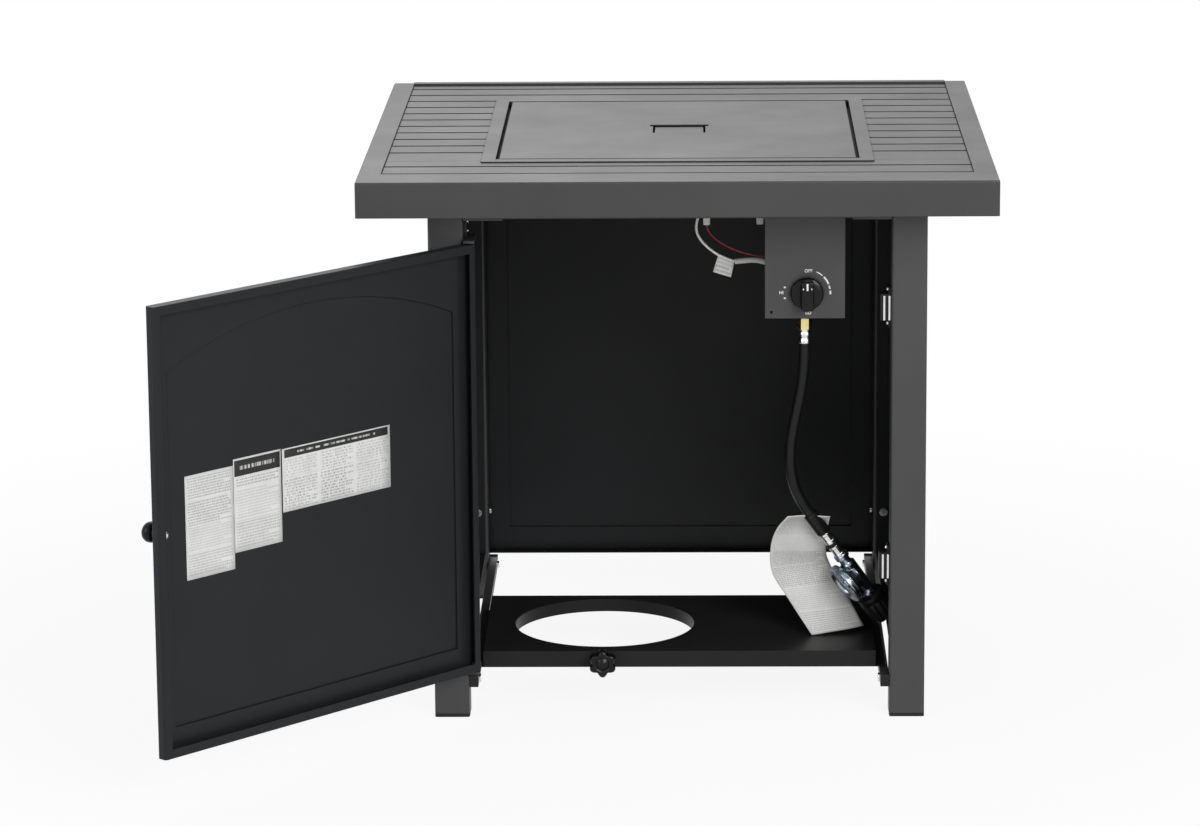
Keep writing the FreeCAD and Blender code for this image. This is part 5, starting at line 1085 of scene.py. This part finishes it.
class FIREPIT_OT_coats(Operator):
    """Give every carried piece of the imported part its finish"""

    bl_idname = "firepit.coats"
    bl_label = "Finishes"

    def execute(self, context):
        for part in frame["record"]["subparts"]:
            for place in NODES[part["node"]].material_slots:
                place.material = finish_named(part["material_slot"])
        return {"FINISHED"}


class FIREPIT_OT_stage(Operator):
    """Set up the pale floor, the soft lamps and the white surroundings"""

    bl_idname = "firepit.stage"
    bl_label = "Stage"

    def execute(self, context):
        scene = context.scene
        scene.view_settings.view_transform = "Standard"
        bm = bmesh.new()
        bmesh.ops.create_grid(bm, x_segments=1, y_segments=1, size=20)
        mesh = bpy.data.meshes.new("Floor")
        bm.to_mesh(mesh)
        bm.free()
        floor = bpy.data.objects.new("Floor", mesh)
        scene.collection.objects.link(floor)
        pale = bpy.data.materials.new("studio_floor")
        pale.use_nodes = True
        tree = pale.node_tree
        tree.nodes.clear()
        lit = add(tree, "ShaderNodeBsdfDiffuse", {"Color": (0.9, 0.9, 0.9, 1)})
        glow = add(tree, "ShaderNodeEmission", {"Color": (1, 1, 1, 1), "Strength": 1.0})
        seen = seen_rays(tree)
        centre = add(tree, "ShaderNodeTexCoord").outputs["Object"]
        away = add(tree, "ShaderNodeVectorMath", {0: centre}, operation="LENGTH").outputs["Value"]
        share = times(tree, seen, ranged(tree, away, 0.7, 1.5, 0.90, 1.0))
        both = add(tree, "ShaderNodeMixShader", {0: share, 1: lit.outputs[0], 2: glow.outputs[0]})
        out = add(tree, "ShaderNodeOutputMaterial", {"Surface": both.outputs[0]})
        out.is_active_output = True
        mesh.materials.append(pale)
        world = bpy.data.worlds.new("Studio")
        scene.world = world
        world.use_nodes = True
        tree = world.node_tree
        tree.nodes.clear()
        strength = ranged(tree, seen_rays(tree), 0.0, 1.0, 0.36, 1.0)
        sky = add(tree, "ShaderNodeBackground", {"Color": (1, 1, 1, 1), "Strength": strength})
        add(tree, "ShaderNodeOutputWorld", {"Surface": sky.outputs[0]})
        for name, place, target, size, power in LAMPS:
            lamp = bpy.data.lights.new(name, "AREA")
            lamp.shape = "DISK"
            lamp.size = size
            lamp.energy = power
            holder = bpy.data.objects.new(name, lamp)
            scene.collection.objects.link(holder)
            turn = (spot(place) - spot(target)).to_track_quat("Z", "Y").to_matrix().to_4x4()
            holder.matrix_world = Matrix.Translation(spot(place)) @ turn
        return {"FINISHED"}


OPERATORS = (
    FIREPIT_OT_camera,
    FIREPIT_OT_hose,
    FIREPIT_OT_leads,
    FIREPIT_OT_hose_fittings,
    FIREPIT_OT_regulator,
    FIREPIT_OT_hose_tag,
    FIREPIT_OT_door_labels,
    FIREPIT_OT_control_knob,
    FIREPIT_OT_dial_marks,
    FIREPIT_OT_star_knob,
    FIREPIT_OT_door_knob,
    FIREPIT_OT_coats,
    FIREPIT_OT_stage,
)


class FIREPIT_PT_sidebar(Panel):
    """Lists what the table is dressed with."""

    bl_idname = "FIREPIT_PT_sidebar"
    bl_label = "Fire Pit Table"
    bl_space_type = "VIEW_3D"
    bl_region_type = "UI"
    bl_category = "Fire Pit"

    def draw(self, context):
        for operator in OPERATORS:
            self.layout.operator(operator.bl_idname)
        for group in (context.scene.firepit_sizes, context.scene.firepit_colours):
            column = self.layout.column()
            for name in group.__annotations__:
                column.prop(group, name)


CLASSES = (FirePitSizes, FirePitColours, *OPERATORS, FIREPIT_PT_sidebar)


def register():
    """Make the properties, operators and the panel known to Blender."""
    for item in CLASSES:
        bpy.utils.register_class(item)
    bpy.types.Scene.firepit_sizes = PointerProperty(type=FirePitSizes)
    bpy.types.Scene.firepit_colours = PointerProperty(type=FirePitColours)


def unregister():
    """Take them away again."""
    del bpy.types.Scene.firepit_colours
    del bpy.types.Scene.firepit_sizes
    for item in reversed(CLASSES):
        bpy.utils.unregister_class(item)


def main():
    """Dress the table piece by piece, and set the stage."""
    register()
    for operator in OPERATORS:
        group, name = operator.bl_idname.split(".")
        getattr(getattr(bpy.ops, group), name)()


if __name__ == "__main__":
    main()
